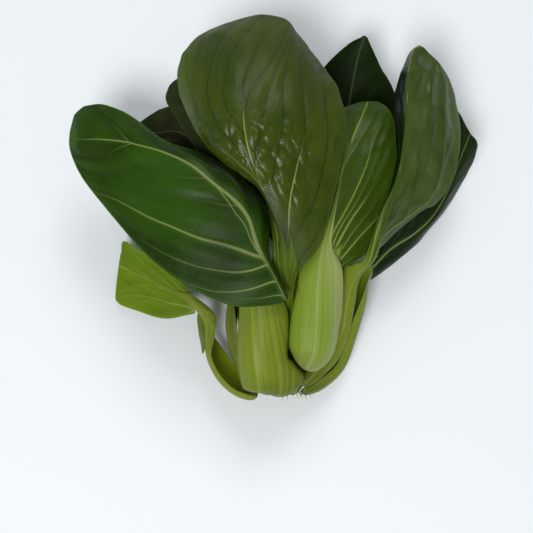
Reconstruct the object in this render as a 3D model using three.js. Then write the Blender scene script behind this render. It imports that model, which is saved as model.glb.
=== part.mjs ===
// A head of baby bok choy lying on its side: a short stem base (the crown) and
// twelve leaves round it, each one a pale fleshy stalk and a green blade.
// Millimetres, +Z up, the crown towards -Y and the leaf tips towards +Y.
import * as THREE from 'three';

// ---- driving dimensions ----
const BLADE_THICKNESS = 0.8;
const GAP = 0.6;                  // clear distance between a blade and its stalk
const VEIN_RELIEF = 0.35;         // how far the side veins stand out under a blade
const VEIN_EVERY = 3;             // every third row of a blade runs along a side vein
const VEIN_SWEEP = 0.85;          // how far the side veins lean towards the tip
const STALK_EDGE = 0.9;           // thickness left at a stalk's two edges
const STALK_GROOVE = 0.35;        // depth of the lengthwise grooves outside a stalk
const RIB_REACH = 0.78;           // the midrib ends at this part of the blade's length
const RIB_END_WIDTH = 1.8;
const RIB_END_THICKNESS = 0.7;
const RIB_FADE = 1.6;             // how fast the stalk narrows into the midrib
const RIB_SPREAD = 0.8;           // the stalk covers no more of a narrow blade than this
const RIB_STATIONS = 5;
const HEAD_AXIS = { x: 4, z: 25 };
const CROWN = { cut: -90.5, shoulder: -84.5, top: -79, radius: 8 };
const FLOOR = 0;                  // whatever would reach lower lies flat on this height
const MIDDLE = { x: 1.97, y: -1.025 };   // middle of the head's box, moved to x = 0, y = 0

const COLOUR = {
  crown: '#d9dfb4',
  stalk: '#b9cc7e',
  bladeDark: '#1f4a16',
  blade: '#2f6420',
  bladeOlive: '#3b6a1a',
  bladeLight: '#6f9a2c',
};

// Each leaf:
//   petiole  rows up the stalk: x, y, z of its inner face, width, thickness,
//            and the way its outer face looks, in degrees from +X towards +Z
//   blade    rows up the blade: left edge, midrib, right edge
//   wave     height and count of the waves along the edges
//   ribFrom  where the stalk meets the blade, as a part of the blade's length, if not its foot
//   ribFade  how fast the stalk narrows into the midrib, if not as RIB_FADE
//   twist    one more row of the stalk, where it turns under a folded blade
//   columns  mesh divisions across the blade
const LEAVES = [
  {
    name: 'leaf_front_left',
    colour: COLOUR.bladeDark,
    petiole: [
      [-1.2, -91.2, 31.3, 18, 4, 100],
      [0.8, -87.9, 34.4, 28, 6.5, 99],
      [-3.2, -83, 37.3, 28, 9, 101],
      [-6.3, -74, 41, 25.2, 9, 101],
      [-5.5, -54, 47, 24, 8, 98],
      [-9, -37, 53, 14, 5, 92],
    ],
    twist: [-9, -26, 57, 8, 4, 0],
    ribFrom: 0.26,
    blade: [
      [[0, -51, 60], [5, -49, 60], [7, -46, 58]],
      [[-17, -52, 61], [-2, -35, 64], [-3.2, -28, 55.5]],
      [[-29, -48, 60], [-8, -24, 66], [-1.5, -15, 56]],
      [[-40, -42, 58], [-12, -11, 67], [-3, -5, 55]],
      [[-52, -34, 56], [-19, -2, 68], [-9, 5, 55]],
      [[-65, -22, 53], [-29, 6, 69], [-19.5, 14.5, 57]],
      [[-79, -6, 51], [-40, 15, 69], [-35, 23, 60]],
      [[-91, 9, 49], [-54, 22, 67], [-53, 29, 62]],
      [[-98, 20, 48], [-71, 28, 63], [-69, 42, 58]],
      [[-102, 31, 48], [-87, 37, 57], [-82, 49, 55]],
      [[-101, 44, 49], [-97, 48, 51], [-92, 51, 52]],
    ],
    wave: { height: 0.8, count: 3 },
    columns: 10,
    rows: 24,
    stalkColumns: 8,
  },
  {
    name: 'leaf_centre',
    colour: COLOUR.bladeOlive,
    petiole: [
      [4, -77, 24, 9, 4, -90],
      [4, -69, 28, 11, 5, -90],
      [5.5, -60, 33, 10, 4.5, -90],
    ],
    blade: [
      [[1.5, -52, 40.5], [6, -53, 40.5], [9.5, -53, 40.5]],
      [[2.8, -42, 48.2], [6.4, -43, 48.5], [9.6, -44, 49]],
      [[-1, -31, 57], [5.5, -33, 57], [11.5, -35.5, 59]],
      [[-1, -12, 62], [3, -17, 65.5], [21.5, -23, 61.5]],
      [[-7.5, 4.5, 67.5], [-4, -1, 73], [27, -6, 63.5]],
      [[-24, 15, 70], [-9, 10, 79], [31, 13, 64]],
      [[-37, 31, 69], [-13, 23, 84], [35, 33, 66]],
      [[-45, 49, 68], [-14, 37, 86], [32, 50, 66]],
      [[-46, 65, 67], [-11, 52, 84], [25, 64, 65]],
      [[-37, 81, 65], [-4, 70, 78], [17, 75, 65]],
      [[-15, 93, 62], [4, 90, 66], [11, 84, 64]],
    ],
    wave: { height: 1.2, count: 4 },
    columns: 12,
    rows: 27,
    stalkColumns: 6,
  },
  {
    name: 'leaf_front_right',
    colour: COLOUR.blade,
    petiole: [
      [14, -77.5, 32.4, 8.5, 4, 52],
      [17, -75.3, 35.3, 18, 6.8, 58],
      [19.4, -70, 38.8, 24.5, 8.5, 62],
      [21, -60, 42, 26, 8.5, 64],
      [22.5, -50, 45.5, 26, 7, 70],
    ],
    ribFade: 4,
    blade: [
      [[35, -31, 47], [22, -33, 50], [12, -31, 47]],
      [[46, -22, 43], [25, -18, 52], [14, -17, 48]],
      [[56, -7, 44], [30, -1, 53], [15, 0, 48]],
      [[61, 12, 46], [34, 18, 54], [17, 18, 48]],
      [[61, 31, 48], [39, 33, 53], [21, 35, 47]],
      [[60, 46, 46], [44, 45, 50], [28, 48, 45]],
      [[55, 55, 43], [48, 55, 44], [40, 54, 43]],
    ],
    wave: { height: 0.7, count: 3 },
    columns: 10,
    rows: 18,
    stalkColumns: 8,
  },
  {
    name: 'leaf_right',
    colour: COLOUR.blade,
    petiole: [
      [13.2, -86.5, 24.2, 6, 3, 15],
      [19.8, -81.2, 22.6, 9, 4, 30],
      [29, -71.5, 22.2, 11, 4.5, 32],
      [34, -58, 27, 11, 4.5, 30],
      [36.5, -45, 30, 13, 4.5, 42],
      [38.3, -32, 37.5, 14, 4.5, 60],
    ],
    ribFade: 3,
    blade: [
      [[49, -23, 43], [46, -25, 46], [44, -26, 46]],
      [[55, -18, 43], [50, -15, 51], [48, -16, 48]],
      [[62, -11, 43], [53, -6, 55], [51.5, -5, 50]],
      [[73, -2, 43], [58, 4, 58], [56.5, 5, 50]],
      [[81, 2, 44], [61, 16, 61], [59.5, 17, 51]],
      [[88, 12, 44], [63, 29, 63], [61, 31, 52]],
      [[93, 29, 44], [64, 44, 64], [60, 47, 52]],
      [[94, 45, 44], [65, 57, 63], [62, 62, 51]],
      [[91, 62, 45], [67, 70, 60], [66, 73, 51]],
      [[84, 73, 49], [70, 78, 56], [69, 79, 51]],
      [[77, 78, 53], [74, 80, 55], [72, 81, 53]],
    ],
    wave: { height: 0.8, count: 3 },
    columns: 8,
    rows: 21,
    stalkColumns: 6,
  },
  {
    name: 'leaf_far_right',
    colour: COLOUR.bladeDark,
    petiole: [
      [13.5, -89.8, 19.4, 5, 3, -20],
      [22.5, -84.5, 14.5, 10, 5, -22],
      [32, -75, 11.5, 14, 5.5, -18],
      [38.5, -58, 15, 12.5, 5.5, -12],
      [43, -42, 23, 11, 5, -30],
    ],
    blade: [
      [[46, -26, 34], [50, -28, 33], [48, -35, 30]],
      [[54, -12, 36], [59, -19, 34], [58, -28, 28]],
      [[61, 3, 38], [70, -12, 35], [72, -16, 28]],
      [[69, 21, 39], [80, -3, 36], [86, -1, 28]],
      [[77, 39, 39], [89, 12, 36], [95, 13, 28]],
      [[85, 52, 39], [95, 27, 36], [103, 27, 30]],
      [[94, 56, 38], [101, 41, 36], [106, 38, 33]],
    ],
    wave: { height: 0.6, count: 3 },
    columns: 6,
    rows: 15,
    stalkColumns: 6,
  },
  {
    name: 'leaf_back_right',
    colour: COLOUR.bladeDark,
    petiole: [
      [8.5, -91, 15, 7, 3.5, -62],
      [10.5, -83, 12, 13, 6, -65],
      [14.5, -66, 7.2, 19, 8, -70],
      [19, -44, 6.5, 16, 6, -80],
    ],
    blade: [
      [[17, -19, 7], [25, -21, 6], [33, -20, 7]],
      [[16, 7, 8], [34, 5, 4.2], [52, 7, 6]],
      [[14, 32, 14], [37, 30, 12], [66, 32, 10]],
      [[16, 55, 20], [39, 53, 21], [70, 54, 15]],
      [[25, 78, 25], [42, 72, 28], [64, 70, 22]],
      [[38, 90, 32], [45, 86, 33], [57, 80, 28]],
      [[46, 93.5, 36], [48, 94, 36.5], [50, 91.5, 35.5]],
    ],
    wave: { height: 0.8, count: 3 },
    columns: 6,
    rows: 15,
    stalkColumns: 6,
  },
  {
    name: 'leaf_back_left',
    colour: COLOUR.bladeDark,
    petiole: [
      [-5, -88, 27, 6, 3.5, 155],
      [-14, -80, 26, 8.5, 4, 168],
      [-18.5, -68, 28.5, 10.5, 4, 176],
      [-20, -52, 32.5, 11, 4, 184],
    ],
    blade: [
      [[-24, -26, 36], [-18, -26, 34], [-11, -24, 36]],
      [[-37, -8, 38], [-19, -4, 36], [-4, -8, 38]],
      [[-52, 5, 38], [-25, 17, 38], [-6, 10, 40]],
      [[-65, 18, 38], [-34, 31, 40], [-18, 30, 42]],
      [[-75, 31, 38], [-48, 40, 41], [-37, 54, 42]],
      [[-77, 39, 38], [-62, 40, 40], [-52, 54, 41]],
      [[-75, 43, 37], [-70, 45, 38], [-62, 51, 39]],
    ],
    wave: { height: 0.6, count: 3 },
    columns: 6,
    rows: 15,
    stalkColumns: 4,
  },
  {
    name: 'leaf_inner_left',
    colour: COLOUR.bladeDark,
    petiole: [
      [0, -77, 20, 6, 3, -150],
      [-4, -64, 27, 9, 4, -140],
      [-8, -44, 36, 10, 4, -120],
    ],
    blade: [
      [[-17, -13, 46], [-12, -13, 46], [-6, -13, 46]],
      [[-26, 5, 48], [-14, 8, 49], [-3, 8, 48]],
      [[-37, 25, 50], [-21, 28, 52], [-3, 30, 50]],
      [[-48, 43, 50], [-29, 46, 53], [-8, 51, 51]],
      [[-54, 54, 50], [-38, 59, 53], [-19, 65, 52]],
      [[-52, 63, 50], [-43, 67, 51], [-35, 70, 51]],
    ],
    wave: { height: 0.6, count: 3 },
    columns: 6,
    rows: 12,
    stalkColumns: 4,
  },
  {
    name: 'leaf_low_left',
    colour: COLOUR.bladeLight,
    petiole: [
      [-8, -92, 21, 8, 3.5, 200],
      [-17, -88, 19.5, 13, 4.5, 208],
      [-24.2, -81, 17.5, 15, 5, 212],
      [-29.8, -71, 17.5, 14, 4.5, 208],
      [-31.8, -62, 18, 11.5, 4, 176],
      [-33.6, -52, 19.5, 9, 3.5, 140],
    ],
    ribFade: 5,
    blade: [
      [[-43, -39, 20.5], [-41, -44, 20.5], [-40, -50, 19.5]],
      [[-50, -31, 21], [-48, -40, 20], [-46, -51, 18]],
      [[-59, -23, 20], [-56, -36, 17.5], [-56, -52, 14]],
      [[-72, -15, 17], [-69, -29, 13], [-70, -48, 9]],
      [[-79, -11, 14], [-78, -25, 10], [-80, -44, 6]],
      [[-80, -15, 12], [-82, -23, 8], [-84, -41, 5]],
    ],
    wave: { height: 0.7, count: 3 },
    columns: 6,
    rows: 15,
    stalkColumns: 6,
  },
  {
    name: 'leaf_under',
    colour: COLOUR.bladeDark,
    petiole: [
      [-1.5, -91, 14.5, 8, 3.5, -118],
      [-5, -83, 12.5, 14, 6, -114],
      [-8, -66, 7.2, 19, 8, -108],
      [-12, -44, 6.5, 16, 6, -98],
    ],
    blade: [
      [[-24, -20, 6.5], [-16, -22, 6], [-8, -20, 6.5]],
      [[-48, 0, 8], [-24, 2, 5], [-4, 4, 9]],
      [[-66, 20, 7], [-36, 24, 3.4], [-8, 30, 9]],
      [[-74, 34, 4.5], [-48, 44, 2], [-22, 50, 6]],
      [[-71, 47, 2.2], [-58, 55, 1.6], [-44, 58, 3]],
    ],
    wave: { height: 0.8, count: 3 },
    columns: 6,
    rows: 12,
    stalkColumns: 6,
  },
  {
    name: 'leaf_inner_low',
    colour: COLOUR.blade,
    petiole: [
      [6, -78, 19, 8, 4, -80],
      [7, -60, 20, 11, 5, -85],
      [8, -40, 22, 11, 4, -88],
    ],
    blade: [
      [[1, -20, 26], [8, -20, 25], [15, -20, 26]],
      [[-6, 4, 30], [10, 4, 28], [26, 4, 30]],
      [[-8, 28, 34], [12, 28, 32], [32, 28, 33]],
      [[-2, 48, 38], [14, 50, 36], [28, 46, 36]],
      [[9, 60, 40], [14, 62, 40], [19, 59, 39]],
    ],
    wave: { height: 0.8, count: 3 },
    columns: 6,
    rows: 12,
    stalkColumns: 4,
  },
  {
    name: 'leaf_heart',
    colour: COLOUR.bladeLight,
    petiole: [
      [12.5, -76, 28, 6, 3, 35],
      [14.5, -62, 31, 8, 4, 45],
      [14.5, -44, 34, 8, 3, 60],
    ],
    blade: [
      [[18, -26, 37], [14, -26, 39], [10, -26, 38]],
      [[24, -12, 39], [15, -10, 42], [6, -12, 40]],
      [[24, 4, 40], [14, 6, 44], [4, 4, 41]],
      [[18, 15, 40], [13, 17, 42], [7, 16, 41]],
    ],
    wave: { height: 0.4, count: 2 },
    columns: 6,
    rows: 9,
    stalkColumns: 4,
  },
];

// ---- small helpers ----
const vec = ([x, y, z]) => new THREE.Vector3(x, y, z);
const smoothstep = (x) => x * x * (3 - 2 * x);

function curveThrough(points) {
  return new THREE.CatmullRomCurve3(points, false, 'catmullrom', 0.5);
}

// ---- the blade as a surface: u from base to tip, v from -1 (left) to 1 (right) ----
function bladeSurface(leaf) {
  const [left, rib, right] = [0, 1, 2].map((side) => curveThrough(leaf.blade.map((row) => vec(row[side]))));

  function frame(u) {
    const middle = rib.getPoint(u);
    const toLeft = left.getPoint(u).sub(middle);
    const toRight = right.getPoint(u).sub(middle);
    const across = toRight.clone().sub(toLeft).normalize();
    const along = rib.getTangent(u);
    const up = across.clone().cross(along).normalize();
    return { middle, toLeft, toRight, across, up };
  }

  function point(u, v) {
    const { middle, toLeft, toRight, across, up } = frame(u);
    const s = Math.abs(v);
    const edge = v < 0 ? toLeft : toRight;
    const level = across.clone().multiplyScalar(edge.dot(across));
    const bend = edge.clone().sub(level);
    const wave = leaf.wave.height * s ** 3 * Math.sin(2 * Math.PI * leaf.wave.count * u + (v < 0 ? 0 : 2));
    return middle
      .addScaledVector(level, s)
      .addScaledVector(bend, s * s)
      .addScaledVector(up, wave * Math.sin(Math.PI * u));
  }

  function normal(u, v) {
    const step = 0.004;
    const [u0, u1] = [Math.max(0, u - step), Math.min(1, u + step)];
    const [v0, v1] = [Math.max(-1, v - step), Math.min(1, v + step)];
    const along = point(u1, v).sub(point(u0, v));
    const across = point(u, v1).sub(point(u, v0));
    return across.cross(along).normalize();
  }

  return { frame, point, normal };
}

// ---- a closed solid between two grids of points: two plane sheets and the rim round them ----
function slab(upper, lower) {
  const rows = upper.length;
  const columns = upper[0].length;
  const sheet = new THREE.PlaneGeometry(1, 1, columns - 1, rows - 1);
  const below = rows * columns;     // the lower sheet's corners come after the upper sheet's
  const index = [];
  for (let k = 0; k < sheet.index.count; k += 3) {
    const [a, b, c] = [0, 1, 2].map((n) => sheet.index.getX(k + n));
    index.push(a, c, b, below + a, below + b, below + c);
  }
  const rim = rimOf(rows, columns);
  rim.forEach((a, k) => {
    const b = rim[(k + 1) % rim.length];
    index.push(b, a, below + a, b, below + a, below + b);
  });
  const positions = [...upper.flat(), ...lower.flat()].flatMap((p) => [p.x, p.y, Math.max(p.z, FLOOR)]);
  const geometry = new THREE.BufferGeometry();
  geometry.setAttribute('position', new THREE.Float32BufferAttribute(positions, 3));
  geometry.setIndex(index);
  geometry.computeVertexNormals();
  return geometry;
}

// the corners round a sheet in order: along its first row, up, back along its last row, down
function rimOf(rows, columns) {
  const steps = (count) => Array.from({ length: count }, (_, k) => k);
  const corner = (i, j) => i * columns + j;
  return [
    ...steps(columns - 1).map((j) => corner(0, j)),
    ...steps(rows - 1).map((i) => corner(i, columns - 1)),
    ...steps(columns - 1).map((j) => corner(rows - 1, columns - 1 - j)),
    ...steps(rows - 1).map((i) => corner(rows - 1 - i, 0)),
  ];
}

// ---- blade: rows lean along the side veins, which stand out below ----
function bladeGeometry(leaf, surface) {
  const upper = [];
  const lower = [];
  for (let i = 0; i <= leaf.rows; i += 1) {
    const t = i / leaf.rows;
    const relief = i % VEIN_EVERY === 0 && i > 0 && i < leaf.rows ? VEIN_RELIEF : 0;
    const upperRow = [];
    const lowerRow = [];
    for (let j = 0; j <= leaf.columns; j += 1) {
      const v = (2 * j) / leaf.columns - 1;
      const s = Math.abs(v);
      const u = t + VEIN_SWEEP * s * t * (1 - t);
      const p = surface.point(u, v);
      const n = surface.normal(u, v);
      upperRow.push(p.clone().addScaledVector(n, BLADE_THICKNESS / 2));
      lowerRow.push(p.clone().addScaledVector(n, -BLADE_THICKNESS / 2 - relief * (1 - s ** 4)));
    }
    upper.push(upperRow);
    lower.push(lowerRow);
  }
  return slab(upper, lower);
}

// ---- stalk: sections up the petiole, then under the blade as the midrib ----
function sectionAngles(columns) {
  return Array.from({ length: columns + 1 }, (_, j) => (Math.PI * j) / columns);
}

function outerRise(angle, j, thickness, groove) {
  return STALK_EDGE + (thickness - STALK_EDGE) * Math.sin(angle) ** 0.8 - (j % 2) * groove * Math.sin(angle);
}

function petioleSection([x, y, z, width, thickness, facing], along, columns) {
  const turn = THREE.MathUtils.degToRad(facing);
  const out = new THREE.Vector3(Math.cos(turn), 0, Math.sin(turn));
  out.addScaledVector(along, -out.dot(along)).normalize();
  const across = out.clone().cross(along);
  const wrap = width * 0.16;
  const inner = [];
  const outer = [];
  sectionAngles(columns).forEach((angle, j) => {
    const side = -Math.cos(angle);
    const p = new THREE.Vector3(x, y, z)
      .addScaledVector(across, (side * width) / 2)
      .addScaledVector(out, -wrap * side * side);
    inner.push(p);
    outer.push(p.clone().addScaledVector(out, outerRise(angle, j, thickness, STALK_GROOVE)));
  });
  return { inner, outer };
}

function ribSection(leaf, surface, u, width, thickness, columns) {
  const { toLeft, toRight } = surface.frame(u);
  const inner = [];
  const outer = [];
  sectionAngles(columns).forEach((angle, j) => {
    const side = -Math.cos(angle);
    const reach = side < 0 ? toLeft.length() : toRight.length();
    const v = THREE.MathUtils.clamp((side * width) / 2 / reach, -RIB_SPREAD, RIB_SPREAD);
    const below = surface.normal(u, v).negate();
    const p = surface.point(u, v).addScaledVector(below, BLADE_THICKNESS / 2 + VEIN_RELIEF + GAP);
    inner.push(p);
    outer.push(p.clone().addScaledVector(below, outerRise(angle, j, thickness, 0)));
  });
  return { inner, outer };
}

function stalkGeometry(leaf, surface) {
  const columns = leaf.stalkColumns;
  const from = leaf.ribFrom ?? 0;
  const stem = leaf.twist ? [...leaf.petiole, leaf.twist] : leaf.petiole;
  const start = surface.frame(from).middle;
  const centres = [...stem.map((row) => vec(row)), start];
  const sections = stem.map((row, k) => {
    const along = centres[Math.min(k + 1, centres.length - 1)].clone().sub(centres[Math.max(k - 1, 0)]).normalize();
    return petioleSection(row, along, columns);
  });
  const [, , , width, thickness] = stem[stem.length - 1];
  for (let k = 0; k <= RIB_STATIONS; k += 1) {
    const f = k / RIB_STATIONS;
    const u = from + (RIB_REACH - from) * f;
    const taper = (1 - f) ** (leaf.ribFade ?? RIB_FADE);
    const ribWidth = RIB_END_WIDTH + (width * 0.85 - RIB_END_WIDTH) * taper;
    const ribThickness = RIB_END_THICKNESS + (thickness * 0.75 - RIB_END_THICKNESS) * taper;
    sections.push(ribSection(leaf, surface, u, ribWidth, ribThickness, columns));
  }
  return slab(loft(sections, 'inner'), loft(sections, 'outer'));
}

function loft(sections, face) {
  const stations = 2 * (sections.length - 1);
  const columns = sections[0][face].length;
  const curves = Array.from({ length: columns }, (_, j) => curveThrough(sections.map((s) => s[face][j])));
  return Array.from({ length: stations + 1 }, (_, i) => curves.map((curve) => curve.getPoint(i / stations)));
}

// ---- crown: the short stem base with its trimmed end ----
function crownGeometry() {
  const { cut, shoulder, top, radius } = CROWN;
  const profile = [
    [0, top],
    [radius * 0.55, top - 1],
    [radius * 0.9, shoulder + 1.5],
    [radius, shoulder],
    [radius, cut + 0.8],
    [radius - 0.8, cut],
    [0, cut],
  ].map(([r, y]) => new THREE.Vector2(r, -y));
  const geometry = new THREE.LatheGeometry(profile, 20);
  geometry.rotateX(Math.PI);
  return geometry.translate(HEAD_AXIS.x, 0, HEAD_AXIS.z);
}

function mesh(name, geometry, colour, roughness) {
  const material = new THREE.MeshStandardMaterial({ color: colour, roughness });
  const result = new THREE.Mesh(geometry.translate(-MIDDLE.x, -MIDDLE.y, 0), material);
  result.name = name;
  return result;
}

const head = new THREE.Group();
head.name = 'bok_choy';
head.add(mesh('crown', crownGeometry(), COLOUR.crown, 0.6));
for (const leaf of LEAVES) {
  const surface = bladeSurface(leaf);
  head.add(mesh(`${leaf.name}_stalk`, stalkGeometry(leaf, surface), COLOUR.stalk, 0.45));
  head.add(mesh(`${leaf.name}_blade`, bladeGeometry(leaf, surface), leaf.colour, 0.4));
}

export default head;
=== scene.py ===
"""Looks of a head of baby bok choy that lies on its side.

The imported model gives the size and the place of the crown, of every stalk and of
every blade. Each of them gets a finer mesh here, on the same curves, with its
veins, blisters and grooves, and a finish of its own.
"""

import logging
import math
from dataclasses import dataclass, replace
from enum import Enum
from typing import Any, Callable, Optional, Sequence, Union

import bmesh
import bpy
import numpy as np
from mathutils import Matrix, Vector

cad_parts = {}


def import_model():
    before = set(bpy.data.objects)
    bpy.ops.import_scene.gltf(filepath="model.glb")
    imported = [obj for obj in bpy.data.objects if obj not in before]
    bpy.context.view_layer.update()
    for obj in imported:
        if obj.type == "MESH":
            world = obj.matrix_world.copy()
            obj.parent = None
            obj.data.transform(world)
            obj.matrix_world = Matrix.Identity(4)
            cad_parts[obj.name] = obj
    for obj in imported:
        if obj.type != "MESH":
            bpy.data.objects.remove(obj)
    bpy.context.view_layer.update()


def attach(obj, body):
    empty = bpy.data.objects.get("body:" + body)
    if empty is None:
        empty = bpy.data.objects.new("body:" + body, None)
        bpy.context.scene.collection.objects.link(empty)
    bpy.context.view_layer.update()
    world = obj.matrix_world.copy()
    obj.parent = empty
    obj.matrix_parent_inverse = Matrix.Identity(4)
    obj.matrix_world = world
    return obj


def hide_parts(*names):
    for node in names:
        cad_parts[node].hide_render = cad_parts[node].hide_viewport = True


log = logging.getLogger("bok_choy")

Array = np.ndarray
Row = tuple[float, ...]
Table = tuple[tuple[float, float], ...]    # places and the values there
Rgb = tuple[float, float, float, float]

MM = 0.001
FULL_TURN = 2 * math.pi
BODY = "root"

# ---- sizes shared with the solids, in millimetres ----
MIDDLE = np.array([1.97, -1.025, 0.0])   # taken off every point
STALK_EDGE = 0.9
RIB_SPREAD = 0.8
RIB_STATIONS = 5
FLOOR_CLEAR = 0.03

# ---- how fine the meshes are: faces round a piece and along it ----
STALK_MESH = (64, 130)
CROWN_MESH = (96, 60)
FLAP_MESH = (20, 40)
SEAM = 2e-6                              # points this close are joined, in metres


# ---------------------------------------------------------------- small maths


def hex_colour(code: str) -> Rgb:
    """A linear colour, by the usual sRGB curve, from a hex code such as #1f4a16.

    Args:
        code: the colour as the eye sees it, in hex.
    Returns:
        The linear red, green and blue, and an alpha of 1.
    """
    parts = [int(code[i:i + 2], 16) / 255 for i in (1, 3, 5)]
    linear = [c / 12.92 if c <= 0.04045 else ((c + 0.055) / 1.055) ** 2.4 for c in parts]
    return (linear[0], linear[1], linear[2], 1.0)


def ease(x: Array, low: float, high: float) -> Array:
    """A soft step from 0 at low to 1 at high."""
    t = np.clip((x - low) / (high - low), 0, 1)
    return t * t * (3 - 2 * t)


def unit(vectors: Array) -> Array:
    """The vectors at a length of 1."""
    return vectors / np.maximum(np.linalg.norm(vectors, axis=-1, keepdims=True), 1e-12)


def read_table(table: Table, at: Array) -> Array:
    """The values of a short table at other places, in straight steps."""
    return np.interp(at, *np.array(table, float).T)


def length_along(path: Array) -> Array:
    """How far along a line of points each of them lies."""
    return np.concatenate([[0], np.cumsum(np.linalg.norm(np.diff(path, axis=0), axis=1))])


def curve_through(points: Array, at: Array) -> Array:
    """Points on a smooth curve through the given ones.

    Args:
        points: the points, or rows of points, that the curve passes.
        at: places along the curve, from 0 to 1.
    Returns:
        One point, or one row of points, for each place.
    """
    count = len(points)
    line = np.concatenate([[2 * points[0] - points[1]], points, [2 * points[-1] - points[-2]]])
    place = np.clip(at, 0, 1) * (count - 1)
    low = np.minimum(place.astype(int), count - 2)
    w = (place - low).reshape((-1,) + (1,) * (points.ndim - 1))
    p0, p1, p2, p3 = line[low], line[low + 1], line[low + 2], line[low + 3]
    t0, t1 = (p2 - p0) / 2, (p3 - p1) / 2
    return ((2 * p1 - 2 * p2 + t0 + t1) * w ** 3
            + (3 * p2 - 3 * p1 - 2 * t0 - t1) * w ** 2 + t0 * w + p1)


class Swell:
    """Soft random hills on a plane, the same at each run."""

    WAVES = 14                           # plain waves that are added up
    GAIN = 1.8 / 1.4

    def __init__(self, seed: int, size: float) -> None:
        """Draws the waves.

        Args:
            seed: start of the random draws.
            size: rough distance from hill to hill.
        """
        rng = np.random.default_rng(seed)
        turn = rng.uniform(0, FULL_TURN, self.WAVES)
        pitch = FULL_TURN / (size * rng.uniform(0.7, 1.6, self.WAVES))
        self.kx = np.cos(turn) * pitch
        self.ky = np.sin(turn) * pitch
        self.phase = rng.uniform(0, FULL_TURN, self.WAVES)

    def at(self, x: Array, y: Array) -> Array:
        """The height, seldom past 0.6 either way."""
        waves = np.sin(np.multiply.outer(x, self.kx) + np.multiply.outer(y, self.ky) + self.phase)
        return waves.mean(axis=-1) * self.GAIN


class Blisters:
    """Puffed cells between small veins, as on a savoyed leaf."""

    JITTER = 0.42                        # how far a cell leaves its square, as a part of it

    def __init__(self, seed: int, size: float, span: float, stretch: float = 1.3) -> None:
        """Scatters the cells.

        Args:
            seed: start of the random draws.
            size: distance from cell to cell, in millimetres.
            span: half of the square that the cells cover.
            stretch: how much longer than wide the cells are.
        """
        rng = np.random.default_rng(seed)
        ticks = np.arange(-span, span, size)
        gx, gy = np.meshgrid(ticks, ticks)
        self.stretch = stretch
        self.size = size
        self.x = (gx + rng.uniform(-self.JITTER, self.JITTER, gx.shape) * size).ravel()
        self.y = (gy + rng.uniform(-self.JITTER, self.JITTER, gy.shape) * size).ravel()
        self.high = rng.uniform(0.35, 1.0, self.x.shape)

    def at(self, x: Array, y: Array, where: Array) -> Array:
        """The height from 0 in the creases to about 1 on the domes, and 0 off the mask."""
        height = np.zeros(len(x))
        height[where] = self.dome(x[where], y[where])
        return height

    def dome(self, x: Array, y: Array) -> Array:
        """The height of the cell round each place.

        Args:
            x: millimetres across.
            y: millimetres along.
        Returns:
            The height, from 0 in the creases to about 1.
        """
        reach = np.hypot(np.subtract.outer(x, self.x),
                         np.subtract.outer(y / self.stretch, self.y))
        order = np.argpartition(reach, 1, axis=1)[:, :2]
        two = np.take_along_axis(reach, order, axis=1)
        near, next_near = two.min(axis=1), two.max(axis=1)
        nearest = order[np.arange(len(order)), two.argmin(axis=1)]
        crease = ease(next_near - near, 0.0, self.size * 0.55)
        return crease * self.high[nearest] * (1 - 0.5 * (near / self.size) ** 2)


# ---------------------------------------------------------------- mesh helpers


def finished_mesh(bm: bmesh.types.BMesh, name: str) -> bpy.types.Mesh:
    """Ends a bmesh in a mesh of its own.

    Args:
        bm: the bmesh, which is freed.
        name: the mesh's name.
    Returns:
        The mesh.
    """
    mesh = bpy.data.meshes.new(name)
    bm.to_mesh(mesh)
    bm.free()
    return mesh


def put_in_scene(name: str, data: bpy.types.ID) -> bpy.types.Object:
    """Makes an object of a mesh, a light or a camera."""
    obj = bpy.data.objects.new(name, data)
    bpy.context.scene.collection.objects.link(obj)
    return obj


def flat_sheet(columns: int, rows: int, closed: bool) -> bpy.types.Mesh:
    """A flat sheet, with x and y from -1 to 1.

    Args:
        columns: faces along x.
        rows: faces along y.
        closed: whether it has a second skin at a z of 1, joined at the margin.
    Returns:
        The mesh.
    """
    bm = bmesh.new()
    bmesh.ops.create_grid(bm, x_segments=columns, y_segments=rows, size=1.0)
    if closed:
        grown = bmesh.ops.extrude_face_region(bm, geom=bm.faces[:])
        raised = [g for g in grown["geom"] if isinstance(g, bmesh.types.BMVert)]
        bmesh.ops.translate(bm, verts=raised, vec=(0.0, 0.0, 1.0))
    return finished_mesh(bm, "sheet")


def corners(mesh: bpy.types.Mesh) -> Array:
    """The vertex places of a mesh, one row each."""
    flat = np.empty(len(mesh.vertices) * 3, np.float32)
    mesh.vertices.foreach_get("co", flat)
    return flat.reshape(-1, 3).astype(float)


def move_corners(mesh: bpy.types.Mesh, places: Array) -> None:
    """Puts the vertices of a mesh at the given places, in metres."""
    mesh.vertices.foreach_set("co", places.astype(np.float32).ravel())
    mesh.update()


def paint(mesh: bpy.types.Mesh, name: str, *values: Array) -> None:
    """Stores up to three numbers for each vertex.

    Args:
        mesh: the mesh.
        name: the name that a finish reads them under.
        values: one row of numbers for each of the three.
    """
    rows = np.zeros((len(mesh.vertices), 3), np.float32)
    for k, value in enumerate(values):
        rows[:, k] = value
    layer = mesh.attributes.new(name, "FLOAT_VECTOR", "POINT")
    layer.data.foreach_set("vector", rows.ravel())


def close_tube(mesh: bpy.types.Mesh) -> None:
    """Joins the long seam of a rolled sheet and fills its two ends.

    Args:
        mesh: the rolled sheet.
    """
    bm = bmesh.new()
    bm.from_mesh(mesh)
    bmesh.ops.remove_doubles(bm, verts=bm.verts[:], dist=SEAM)
    bmesh.ops.holes_fill(bm, edges=[e for e in bm.edges if e.is_boundary], sides=0)
    bm.to_mesh(mesh)
    bm.free()


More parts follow.
